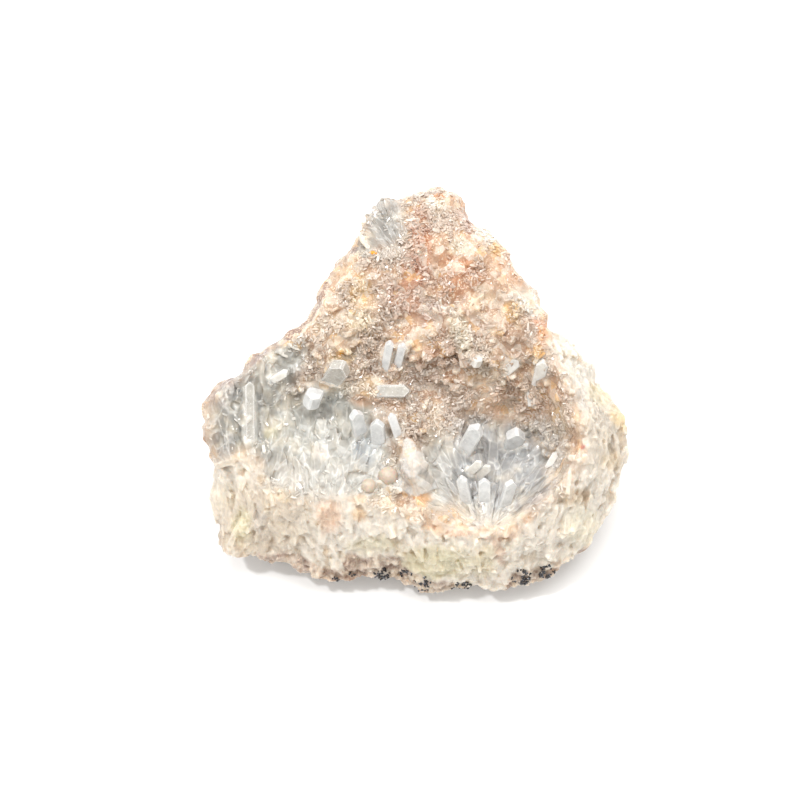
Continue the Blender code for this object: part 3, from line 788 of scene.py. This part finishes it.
def make_rock():
    """The skin with the crystals that have grown together with it."""
    surface = Surface(part_mesh())
    crystals = [grow(surface) for grow in (blue_crystals, blades, druse_blocks, wall_splinters)]
    grown = joined_meshes([make_skin(), *crystals])
    mesh = fewer_faces(even_faces(grown, GROWN_VOXEL), ROCK_TRIANGLES)
    points, outward = coordinates(mesh), normals(mesh)
    hollow, wall, _ = regions(points, outward)
    # Paler beside the part's clear crystals: painted light that offsets the shade they cast on the skin
    white = 0.4 * near_crystals(points) ** 2 * hollow
    colour = crevice_tone_and_painted_light(ground_colour(points, outward), surface.height(points), points, hollow, wall)
    set_tint(mesh, towards_white(colour, white))
    set_grain(mesh, points, hollow, wall)
    mesh.shade_flat()
    return mesh


class Surface:
    """Triangles of a mesh, for scattering crystals over it."""

    def __init__(self, mesh):
        points = coordinates(mesh)
        corners = np.empty(len(mesh.loop_triangles) * 3, np.int32)
        mesh.loop_triangles.foreach_get("vertices", corners)
        self.corners = points[corners.reshape(-1, 3)]
        self.middle = self.corners.mean(axis=1)
        cross = np.cross(
            self.corners[:, 1] - self.corners[:, 0], self.corners[:, 2] - self.corners[:, 0]
        )
        size = np.linalg.norm(cross, axis=1)
        self.area = size / 2
        self.outward = cross / np.maximum(size, 1e-9)[:, None]
        self.hollow, self.wall, _ = regions(self.middle, self.outward)
        self.seen = seen_from_eye(self.middle)
        self.tree = BVHTree.FromPolygons(points.tolist(), corners.reshape(-1, 3).tolist())

    def spot(self, u, v):
        """The point that the eye sees at (u, v), and the way its face looks."""
        towards = FACE_CENTRE + RIGHT * u + UP * v - EYE
        point, outward, _, _ = self.tree.ray_cast(Vector(EYE), Vector(towards).normalized())
        return (None, None) if point is None else (np.array(point), np.array(outward))

    def height(self, points):
        """How far each point stands out of the faces."""
        found = np.zeros(len(points))
        for index, point in enumerate(points.tolist()):
            nearest, outward, _, _ = self.tree.find_nearest(point)
            found[index] = (Vector(point) - nearest).dot(outward)
        return found

    def under(self, points):
        """Which points have the stone within BEHIND_REACH behind them as the eye sees them."""
        found = []
        for point in points:
            towards = Vector(point - EYE).normalized()
            found.append(self.tree.ray_cast(Vector(point) - towards, towards, BEHIND_REACH)[0] is not None)
        return np.array(found)


def scatter(surface, weight, count, rng):
    """Points spread over the faces in proportion to area and weight, with the directions they face."""
    chance = surface.area * weight
    face = rng.choice(len(chance), count, p=chance / chance.sum())
    s, t = rng.random((2, count, 1))
    over = s + t > 1
    s, t = np.where(over, 1 - s, s), np.where(over, 1 - t, t)
    a, b, c = (surface.corners[face, k] for k in range(3))
    return a + (b - a) * s + (c - a) * t, surface.outward[face]


def unit(directions):
    return directions / np.linalg.norm(directions, axis=1)[:, None]


def across(directions, rng):
    """A random direction square to each of these."""
    return unit(np.cross(directions, rng.normal(size=directions.shape)))


def laid_flat(directions, outward):
    """Directions laid flat on faces that look outward."""
    return unit(directions - outward * (directions * outward).sum(axis=1)[:, None])


def crystal_axes(wide, along):
    """Axes of crystals: width, thickness and length."""
    return np.stack([wide, np.cross(along, wide), along], axis=1)


def leaning(outward, low, high, rng):
    """Axes of crystals that lean by low to high degrees."""
    angle = np.radians(rng.uniform(low, high, len(outward)))[:, None]
    along = unit(outward * np.cos(angle) + across(outward, rng) * np.sin(angle))
    return crystal_axes(across(along, rng), along)


def tips(spots, axes, sizes):
    return spots + axes[:, 2] * sizes[:, 2:]


# Crystal forms, one unit wide, thick and long from the root at 0: (points, faces)
ROOT = -0.35


def prism_form(outline, levels):
    """A crystal with this outline at each level: (height, share of the width, share of the thickness)."""
    sides = len(outline)
    points = [(x * wide, y * thick, height) for height, wide, thick in levels for x, y in outline]
    faces = [tuple(reversed(range(sides)))]
    for level in range(len(levels) - 1):
        low, high = level * sides, (level + 1) * sides
        faces += [(low + k, low + (k + 1) % sides, high + (k + 1) % sides, high + k) for k in range(sides)]
    faces.append(tuple(range(len(points) - sides, len(points))))
    return points, faces


SQUARE = [(-0.5, -0.5), (0.5, -0.5), (0.5, 0.5), (-0.5, 0.5)]
CHISEL_FORM = prism_form(SQUARE, [(ROOT, 1.0, 1.0), (0.74, 1.0, 1.0), (1.0, 0.4, 0.75)])
NEEDLE_FORM = prism_form(SQUARE, [(ROOT, 1.0, 1.0), (0.7, 1.0, 1.0), (1.0, 0.3, 0.3)])
GRAIN_FORM = prism_form(SQUARE, [(-0.5, 0.6, 0.6), (-0.2, 1.0, 1.0), (0.25, 1.0, 1.0), (0.5, 0.55, 0.55)])


def joined_crystals(name, form, spots, axes, sizes, rng, wobble=0.05, tint=None):
    """One mesh of many closed crystals of the same form, each with its own place, size and maybe tint."""
    points, faces = np.array(form[0]), form[1]
    count, each = len(spots), len(points)
    shapes = points + rng.normal(0, wobble, (count, each, 3)) * (1, 1, 0.3)
    placed = spots[:, None, :] + np.einsum("nkj,njm->nkm", shapes * sizes[:, None, :], axes)
    above = placed[:, :, 2].min(axis=1) > 0
    placed, count = placed[above], above.sum()
    loops = np.concatenate([np.array(face) for face in faces])
    starts = np.cumsum([0, *[len(face) for face in faces[:-1]]])
    mesh = bpy.data.meshes.new(name)
    mesh.vertices.add(count * each)
    mesh.vertices.foreach_set("co", placed.ravel())
    mesh.loops.add(count * len(loops))
    all_loops = (np.arange(count)[:, None] * each + loops).ravel()
    mesh.loops.foreach_set("vertex_index", all_loops.astype(np.int32))
    mesh.polygons.add(count * len(faces))
    all_starts = (np.arange(count)[:, None] * len(loops) + starts).ravel()
    mesh.polygons.foreach_set("loop_start", all_starts.astype(np.int32))
    mesh.update(calc_edges=True)
    mesh.shade_flat()
    if tint is not None:
        set_tint(mesh, np.repeat(tint[above], each, axis=0))
    return mesh


def towards_white(colour, share):
    """Tints lightened towards white, each by its own share."""
    share = np.clip(share, 0, 1)[:, None]
    return colour * (1 - share) + linear(CRYSTAL_WHITE) * share


def zone(seen, mid_u, mid_v, spread_u, spread_v):
    """A soft round region of the face, from 1 at its middle to 0 outside."""
    away = np.hypot((seen[:, 0] - mid_u) / spread_u, (seen[:, 1] - mid_v) / spread_v)
    return 1 - smooth((away - ZONE_EDGE) / ZONE_FADE)


def blue_zone(seen):
    """Where the larger blue-grey crystals grow."""
    return np.maximum.reduce([zone(seen, *area) for area in BLUE_ZONES])


def make_druse(surface, finish):
    """The small crystals that stand out of the pink part of the hollow, among the rock's own flecks."""
    for name, low, high, seed in DRUSE_HALVES:
        rng = np.random.default_rng(seed)
        band = (surface.seen[:, 1] > low) & (surface.seen[:, 1] <= high)
        facing = smooth((surface.outward @ OUT - 0.35) / 0.35)
        clear_of_line = nearest_on_line(surface.seen, RIND_LINE) > LINE_REACH
        patchy = 0.03 + smooth(0.42 + 2.2 * rough_noise(surface.middle, 4.0, 111))
        weight = facing * clear_of_line * patchy * surface.hollow ** 2 * band
        weight *= (1 - 0.93 * blue_zone(surface.seen)) * ~inside(surface.seen, FIN_OUTLINE)
        spots, outward = scatter(surface, weight, DRUSE_COUNT, rng)
        white = rng.random(DRUSE_COUNT) < FLECK_SHARE
        scale = rng.lognormal(0, 0.25, (DRUSE_COUNT, 1))
        sizes = scale * rng.uniform(*DRUSE_SIZES, (DRUSE_COUNT, 3))
        axes = leaning(outward, 60, 92, rng)
        whiter, plainer = (rng.uniform(*span, DRUSE_COUNT) for span in ((0.1, 0.45), (0.0, 0.2)))
        share = np.where(white, whiter, plainer)
        tint = towards_white(ground_colour(spots, outward), share)
        kept = surface.under(tips(spots, axes, sizes))
        mesh = joined_crystals(
            name, NEEDLE_FORM, spots[kept], axes[kept], sizes[kept], rng, tint=tint[kept]
        )
        shown(name, mesh, finish)


def growing(spots, outward, rng):
    """Axes of crystals that fan out from the foot of their zone, near flat on the stone."""
    angle = nearest_fan(seen_from_eye(spots))[1] + rng.normal(0, 0.3, len(spots))
    along = laid_flat(np.cos(angle)[:, None] * RIGHT + np.sin(angle)[:, None] * UP, outward)
    along = unit(along + outward * rng.uniform(-0.02, 0.08, (len(spots), 1)))
    wide = unit(np.cross(outward + 0.15 * rng.normal(size=outward.shape), along))
    return crystal_axes(wide, along)


def blue_crystals(surface):
    """The tabular crystals of the lobe, the basin and the pocket, as a mesh that is joined to the skin."""
    rng = np.random.default_rng(201)
    weight = surface.hollow ** 2 * blue_zone(surface.seen) * (surface.outward @ OUT > 0.4)
    weight *= ~inside(surface.seen, FIN_OUTLINE)
    spots, outward = scatter(surface, weight, BLUE_COUNT, rng)
    scale = np.clip(rng.lognormal(0, 0.35, (BLUE_COUNT, 1)), 0.5, 1.5)
    sizes = scale * rng.uniform(*BLUE_SIZES, (BLUE_COUNT, 3))
    axes = growing(spots, outward, rng)
    kept = surface.under(tips(spots, axes, sizes))
    roots = (spots - outward * BLUE_SINK)[kept]
    return joined_crystals("blue_crystals", CHISEL_FORM, roots, axes[kept], sizes[kept], rng, 0.06)


def druse_blocks(surface):
    """The larger stubby crystals in clumps among the druse, as a mesh that is joined to the skin."""
    rng = np.random.default_rng(231)
    clumps = smooth(0.5 + 1.5 * rough_noise(surface.middle, 6.0, 235))
    facing = surface.outward @ OUT > 0.4
    weight = facing * clumps * surface.hollow ** 2 * (1 - blue_zone(surface.seen))
    spots, outward = scatter(surface, weight, BLOCK_COUNT, rng)
    coarse = 1.25 - 0.6 * smooth((seen_from_eye(spots)[:, 1] - 8) / 16)[:, None]
    sizes = coarse * rng.uniform(*BLOCK_SIZES, (BLOCK_COUNT, 3))
    axes = leaning(outward, 25, 85, rng)
    kept = surface.under(tips(spots, axes, sizes))
    roots = (spots - outward * BLOCK_SINK)[kept]
    return joined_crystals("druse_blocks", CHISEL_FORM, roots, axes[kept], sizes[kept], rng)


def wall_splinters(surface):
    """Ridges that run down the broken wall, as a mesh that is joined to the skin."""
    rng = np.random.default_rng(241)
    facing = surface.outward @ OUT > 0.1
    above = 1 - rind_strip(surface.seen - (0.0, 3.0))
    spots, outward = scatter(surface, facing * above * surface.wall ** 2, SPLINTER_COUNT, rng)
    along = laid_flat(UP + 0.4 * rng.normal(size=spots.shape), outward)
    wide = unit(np.cross(outward + 0.3 * rng.normal(size=spots.shape), along))
    axes = crystal_axes(wide, along)
    sizes = rng.uniform(*SPLINTER_SIZES, spots.shape)
    middle = spots - along * sizes[:, 2:] * 0.3
    kept = surface.under(tips(middle, axes, sizes)) & surface.under(middle)
    roots = (middle - 0.15 * outward)[kept]
    return joined_crystals("splinters", CHISEL_FORM, roots, axes[kept], sizes[kept], rng, 0.08)


def lying(surface, u, v, bearing, rise, length):
    """Root and axes of a blade that lies on the stone along a bearing and rises out of it, in degrees."""
    turn, lift = math.radians(bearing), math.radians(BLADE_RISE * rise)
    root, outward = surface.spot(u, v)
    tip, _ = surface.spot(u + length * math.cos(turn), v + length * math.sin(turn))
    flat = math.cos(turn) * RIGHT + math.sin(turn) * UP
    climb = 0.0 if tip is None else np.clip((tip - root) @ OUT / length, -BLADE_CLIMB, BLADE_CLIMB)
    along = (flat + climb * OUT) / math.hypot(1, climb)
    along = math.cos(lift) * along + math.sin(lift) * outward
    along /= np.linalg.norm(along)
    wide = np.cross(outward, along)
    wide /= np.linalg.norm(wide)
    return root - outward * BLADE_SINK, [wide, np.cross(along, wide), along]


def blades(surface):
    """The blades that stand out by their size, each where it grows."""
    rng = np.random.default_rng(211)
    placed = [
        lying(surface, u, v, bearing, rise, length)
        for u, v, bearing, rise, length, _, _ in BLADES
    ]
    spots = np.array([root for root, _ in placed])
    axes = np.array([directions for _, directions in placed])
    sizes = np.array([(width, thick, length) for *_, length, width, thick in BLADES])
    return joined_crystals("blades", CHISEL_FORM, spots, axes, sizes, rng, 0.04)


def rind_strip(seen):
    """The grey-brown strip of rind along the foot of the face."""
    return smooth((np.interp(seen[:, 0], *np.array(RIND_TOP).T) - seen[:, 1]) / STRIP_FADE)


def make_black_specks(surface, finish):
    """Clusters of small black crystals on the rind strip."""
    rng = np.random.default_rng(401)
    weight = np.zeros(len(surface.area))
    for mid_u, mid_v, radius in BLACK_CLUSTERS:
        far = np.hypot(surface.seen[:, 0] - mid_u, 1.4 * (surface.seen[:, 1] - mid_v))
        weight = np.maximum(weight, (far < 1.25 * radius) * 1.0)
    weight *= (surface.outward @ OUT > 0) * (rough_noise(surface.middle, 0.9, 411) > 0.0)
    spots, outward = scatter(surface, weight, SPECK_COUNT, rng)
    sizes = rng.uniform(*SPECK_SIZES, (SPECK_COUNT, 3))
    tint = linear(BLACK_COLOUR) * rng.lognormal(0.3, 0.8, (SPECK_COUNT, 1))
    axes = leaning(outward, 20, 80, rng)
    mesh = joined_crystals("black_specks", GRAIN_FORM, spots, axes, sizes, rng, tint=tint)
    shown("black_specks", mesh, finish)


def new_material(name):
    made = bpy.data.materials.new(name)
    made.use_nodes = True
    return made, made.node_tree, made.node_tree.nodes["Principled BSDF"]


def feed(tree, node, values):
    """Links outputs to a node's inputs, or gives the inputs plain values."""
    for name, value in values.items():
        if isinstance(value, bpy.types.NodeSocket):
            tree.links.new(value, node.inputs[name])
        elif value is not None:
            node.inputs[name].default_value = value


def opaque(colour):
    """A colour written as it looks, in the form that a node takes."""
    return (*linear(colour), 1.0)


def attribute(tree, name, output="Color"):
    node = tree.nodes.new("ShaderNodeAttribute")
    node.attribute_name = name
    return node.outputs[output]


def noise(tree, scale, detail=3.0):
    """Noise in the stone's own coordinates, with this many repeats to a metre."""
    node = tree.nodes.new("ShaderNodeTexNoise")
    place = tree.nodes.new("ShaderNodeTexCoord").outputs["Object"]
    feed(tree, node, {"Scale": scale, "Detail": detail, "Vector": place})
    return node.outputs["Fac"]


def ranged(tree, source, low, high, at_low, at_high, easing="SMOOTHSTEP"):
    """A value eased from one amount to another while its source goes from low to high."""
    node = tree.nodes.new("ShaderNodeMapRange")
    node.interpolation_type = easing
    feed(tree, node, {"Value": source, "From Min": low, "From Max": high})
    feed(tree, node, {"To Min": at_low, "To Max": at_high})
    return node.outputs["Result"]


def spread_noise(tree, scale, low, high):
    """Noise whose usual values run from low to high."""
    return ranged(tree, noise(tree, scale), *NOISE_RANGE, low, high, "LINEAR")


def mottled_by_noise(tree, colour, scale, low, high):
    """A colour made darker and lighter, from low to high."""
    node = tree.nodes.new("ShaderNodeHueSaturation")
    feed(tree, node, {"Color": colour, "Value": spread_noise(tree, scale, low, high)})
    return node.outputs["Color"]


def bumped(tree, shader, source, strength, distance, normal=None):
    node = tree.nodes.new("ShaderNodeBump")
    feed(tree, node, {"Height": source, "Strength": strength, "Distance": distance, "Normal": normal})
    feed(tree, shader, {"Normal": node.outputs["Normal"]})


def vectors(tree, operation, first, second=None):
    """A step of vector arithmetic on two outputs or values."""
    node = tree.nodes.new("ShaderNodeVectorMath")
    node.operation = operation
    feed(tree, node, {0: first, 1: second})
    return node.outputs["Value" if operation in ("DOT_PRODUCT", "LENGTH") else "Vector"]


def numbers(tree, operation, first, second, *more):
    """A step of arithmetic on two outputs or values, and on its result and each further one."""
    node = tree.nodes.new("ShaderNodeMath")
    node.operation = operation
    feed(tree, node, {0: first, 1: second})
    result = node.outputs["Value"]
    return numbers(tree, operation, result, *more) if more else result


def mixed(tree, share, first, second):
    """A colour that goes from the first to the second by a share."""
    node = tree.nodes.new("ShaderNodeMix")
    node.data_type = "RGBA"
    colours = [index for index, socket in enumerate(node.inputs) if socket.type == "RGBA"]
    feed(tree, node, {"Factor": share, colours[0]: first, colours[1]: second})
    return next(socket for socket in node.outputs if socket.type == "RGBA")


def cells(tree, place, size, feature="F1"):
    """Irregular cells of about that size."""
    node = tree.nodes.new("ShaderNodeTexVoronoi")
    node.feature = feature
    feed(tree, node, {"Scale": 1 / size, "Vector": place})
    return node


def flecks(tree, place, size, length, width, shift):
    """Long grains laid at random, one in each cell of about that size: 1 in a grain, 0 beside it."""
    moved = vectors(tree, "ADD", place, (shift, shift, shift))
    cell = cells(tree, moved, size)
    away = vectors(tree, "SUBTRACT", moved, cell.outputs["Position"])
    axis = vectors(tree, "NORMALIZE", vectors(tree, "SUBTRACT", cell.outputs["Color"], HALF))
    run = vectors(tree, "MULTIPLY", axis, vectors(tree, "DOT_PRODUCT", away, axis))
    aside = vectors(tree, "SUBTRACT", away, run)
    along_share = vectors(tree, "DIVIDE", run, (length / 2,) * 3)
    aside_share = vectors(tree, "DIVIDE", aside, (width / 2,) * 3)
    reach = vectors(tree, "LENGTH", vectors(tree, "ADD", along_share, aside_share))
    return ranged(tree, reach, 0.6, 1.0, 1.0, 0.0)


def split(tree, colour):
    """The red, green and blue of a colour."""
    node = tree.nodes.new("ShaderNodeSeparateColor")
    feed(tree, node, {"Color": colour})
    return [node.outputs[name] for name in ("Red", "Green", "Blue")]


def rock_paleness(tree, place, grains, druse, blue, wall):
    """How pale the rock is at its flecks and, out of the druse, along the edges of its facets."""
    amount = numbers(tree, "ADD", numbers(tree, "MULTIPLY", druse, FLECKS_IN_DRUSE), FLECKS_OVERALL)
    patchy = ranged(tree, noise(tree, 260.0, 2.0), 0.4, 0.62, 0.1, 1.0)
    away = cells(tree, place, FACET_SIZE, "DISTANCE_TO_EDGE").outputs["Distance"]
    edge = ranged(tree, away, 0.0, 0.12, 1.0, 0.0)
    webbed = numbers(tree, "ADD", blue, numbers(tree, "MULTIPLY", wall, 0.6))
    lines = numbers(tree, "MULTIPLY", edge, spread_noise(tree, 700.0, 0.0, 1.0), webbed, 0.4)
    return numbers(tree, "MAXIMUM", numbers(tree, "MULTIPLY", grains, amount, patchy), lines)


def rock_colour(tree, place, pale, druse, blue):
    """The rock's tint with golden and glassy grains in the druse, under its pale flecks."""
    clear, gold, _ = split(tree, cells(tree, place, GRAIN_BLOCK).outputs["Color"])
    golden = numbers(tree, "MULTIPLY", ranged(tree, gold, 0.78, 0.86, 0.0, 0.4), druse)
    glassy = numbers(tree, "MULTIPLY", ranged(tree, clear, 0.5, 0.7, 0.0, 0.55), druse)
    colour = mottled_by_noise(tree, attribute(tree, "tint"), 900.0, 0.84, 1.08)
    colour = mixed(tree, golden, colour, opaque(GOLDEN_COLOUR))
    colour = mixed(tree, glassy, colour, opaque(GLASSY_COLOUR))
    return mixed(tree, pale, colour, mixed(tree, blue, opaque(FLECK_COLOUR), opaque(BLUE_FLECK_COLOUR)))


def facet_normal(tree, place, wall):
    """The rock's own direction, leant by a random amount in each small facet."""
    random = vectors(tree, "SUBTRACT", cells(tree, place, FACET_SIZE).outputs["Color"], HALF)
    lean = numbers(tree, "SUBTRACT", FACET_TILT, numbers(tree, "MULTIPLY", wall, WALL_STEADY))
    own = tree.nodes.new("ShaderNodeNewGeometry").outputs["Normal"]
    return vectors(tree, "NORMALIZE", vectors(tree, "ADD", own, vectors(tree, "MULTIPLY", random, lean)))


def rock_material():
    """Waxy celestite that is made of grains: flecks in the druse, streaks elsewhere, with small facets."""
    made, tree, shader = new_material("rock_skin")
    place = attribute(tree, "grain_place", "Vector")
    druse, blue, wall = split(tree, attribute(tree, "zones"))
    grains = numbers(tree, "MAXIMUM", *[flecks(tree, place, *layer) for layer in FLECK_LAYERS])
    pale = rock_paleness(tree, place, grains, druse, blue, wall)
    height = numbers(tree, "ADD", numbers(tree, "MULTIPLY", noise(tree, 3200.0, 4.0), 0.5), grains)
    bumped(tree, shader, height, 0.35, 0.00015, facet_normal(tree, place, wall))
    feed(tree, shader, {
        "Base Color": rock_colour(tree, place, pale, druse, blue),
        "Roughness": ranged(tree, numbers(tree, "MAXIMUM", druse, blue), 0.3, 0.8, 0.45, 0.17),
        "Subsurface Weight": 0.7,
        "Subsurface Radius": (1.0, 0.8, 0.65),
        "Subsurface Scale": 0.003,
        "IOR": 1.5,
    })
    return made


def crystal_material(name, milky, roughness):
    """Small crystals in the tint of their mesh. Light goes into the milky ones."""
    made, tree, shader = new_material(name)
    feed(tree, shader, {
        "Base Color": mottled_by_noise(tree, attribute(tree, "tint"), 1200.0, 0.94, 1.04),
        "Roughness": roughness,
        "Subsurface Weight": milky,
        "Subsurface Radius": (1.0, 0.9, 0.8),
        "Subsurface Scale": 0.0005,
        "IOR": CELESTITE_IOR,
    })
    return made


def crystal_paleness(tree):
    """How pale a clear crystal is at its veils and growth lines, and along its edges, where a painted
    highlight runs.
    """
    place = tree.nodes.new("ShaderNodeTexCoord").outputs["Object"]
    place = vectors(tree, "DIVIDE", place, (MM, MM, MM))
    away = cells(tree, place, VEIL_SIZE, "DISTANCE_TO_EDGE").outputs["Distance"]
    veil = ranged(tree, away, 0.0, 0.1, 0.35, 0.0)
    veils = numbers(tree, "MULTIPLY", veil, spread_noise(tree, 600.0, 0.0, 1.0))
    growth = numbers(tree, "MULTIPLY", flecks(tree, place, *GROWTH_LINES), 0.7)
    # Painted highlight: paler where the rounded direction turns away from the face's own, along the edges
    edge_highlight = tree.nodes.new("ShaderNodeBevel")
    feed(tree, edge_highlight, {"Radius": EDGE_HIGHLIGHT_RADIUS * MM})
    own = tree.nodes.new("ShaderNodeNewGeometry").outputs["True Normal"]
    straight = vectors(tree, "DOT_PRODUCT", edge_highlight.outputs["Normal"], own)
    return numbers(tree, "MAXIMUM", veils, growth, ranged(tree, straight, 0.9, 0.99, 1.0, 0.0))


def clear_material(name, colour, clear, absorbed, density):
    """A crystal of the part: clear, with veils, growth lines and edges paled by a painted highlight."""
    made, tree, shader = new_material(name)
    plain = mottled_by_noise(tree, opaque(colour), 700.0, 0.78, 1.05)
    bumped(tree, shader, noise(tree, 1600.0), 0.4, 0.0002)
    feed(tree, shader, {
        "Base Color": mixed(tree, crystal_paleness(tree), plain, VEIL_WHITE),
        "Roughness": spread_noise(tree, 1100.0, 0.05, 0.25),
        "Transmission Weight": clear,
        "IOR": CELESTITE_IOR,
        "Subsurface Weight": 0.5,
        "Subsurface Radius": (1.0, 1.0, 1.0),
        "Subsurface Scale": 0.0007,
    })
    volume = tree.nodes.new("ShaderNodeVolumeAbsorption")
    feed(tree, volume, {"Color": opaque(absorbed), "Density": density})
    feed(tree, tree.nodes["Material Output"], {"Volume": volume.outputs["Volume"]})
    return made


def stone_material(name, colour, roughness, subsurface):
    """Beads and grains: waxy, with faint mottling."""
    made, tree, shader = new_material(name)
    bumped(tree, shader, noise(tree, 2500.0), 0.4, 0.0001)
    feed(tree, shader, {
        "Base Color": mottled_by_noise(tree, opaque(colour), 900.0, 0.8, 1.12),
        "Roughness": roughness,
        "Subsurface Weight": subsurface,
        "Subsurface Scale": 0.0006,
    })
    return made


def finish_for(name):
    """Which material a node of the part gets."""
    if name.startswith("bead"):
        return "bead_skin"
    if name == "orange_grain":
        return "grain_skin"
    if name in DIM_CRYSTALS:
        return "dim_crystal"
    return "white_crystal" if name in WHITE_AND_PAINTED_GLINT_CRYSTALS else "clear_crystal"


def finish_nodes():
    """Materials for the part's own crystals, beads and grain."""
    finishes = {name: clear_material(name, *values) for name, values in CLEAR_FINISHES.items()}
    finishes.update({name: stone_material(name, *values) for name, values in STONE_FINISHES.items()})
    for name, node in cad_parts.items():
        node.data.materials.clear()
        node.data.materials.append(finishes[finish_for(name)])


def make_camera():
    lens = SENSOR * EYE_DISTANCE / FRAME_WIDTH
    camera = bpy.data.cameras.new("camera")
    camera.sensor_width = SENSOR
    camera.lens = lens
    camera.shift_x = FRAME_MIDDLE[0] / FRAME_WIDTH
    camera.shift_y = FRAME_MIDDLE[1] / FRAME_WIDTH
    camera.clip_start = 0.01
    camera.clip_end = 10.0
    holder = bpy.data.objects.new("camera", camera)
    bpy.context.scene.collection.objects.link(holder)
    turn = Matrix([RIGHT, UP, OUT]).transposed().to_4x4()
    holder.matrix_world = Matrix.Translation(EYE * MM) @ turn
    bpy.context.scene.camera = holder


def area_light(name, direction, distance, size, watts):
    """A square light that faces the stone from a direction in (u, v, w)."""
    light = bpy.data.lights.new(name, "AREA")
    light.size = size
    light.energy = watts
    towards = Vector(RIGHT * direction[0] + UP * direction[1] + OUT * direction[2]).normalized()
    holder = bpy.data.objects.new(name, light)
    bpy.context.scene.collection.objects.link(holder)
    holder.location = Vector(FACE_CENTRE * MM) + towards * distance
    holder.rotation_mode = "QUATERNION"
    holder.rotation_quaternion = towards.to_track_quat("Z", "Y")


def make_floor():
    bpy.ops.mesh.primitive_plane_add(size=FLOOR_SIZE)
    floor = bpy.context.object
    floor.name = "floor"
    finish, tree, shader = new_material("pale_floor")
    feed(tree, shader, {"Base Color": FLOOR_COLOUR, "Roughness": 0.9})
    floor.data.materials.append(finish)


def make_studio():
    world = bpy.data.worlds.new("studio")
    world.use_nodes = True
    background = world.node_tree.nodes["Background"]
    feed(world.node_tree, background, {"Color": SKY_COLOUR, "Strength": SKY_STRENGTH})
    bpy.context.scene.world = world
    for light in LIGHTS:
        area_light(*light)
    bpy.context.scene.view_settings.view_transform = "Standard"
    paths = bpy.context.scene.cycles
    paths.max_bounces = 14
    paths.diffuse_bounces = 6
    paths.transmission_bounces = 12
    make_floor()


def main():
    make_camera()
    make_studio()
    finish_nodes()
    rock_finish = rock_material()
    rock_mesh = make_rock()
    surface = Surface(rock_mesh)
    rock = shown("rock", rock_mesh, rock_finish)
    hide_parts("matrix")
    make_druse(surface, crystal_material("druse_crystal", 0.3, 0.15))
    make_black_specks(surface, crystal_material("black_speck", 0.0, 0.25))


main()
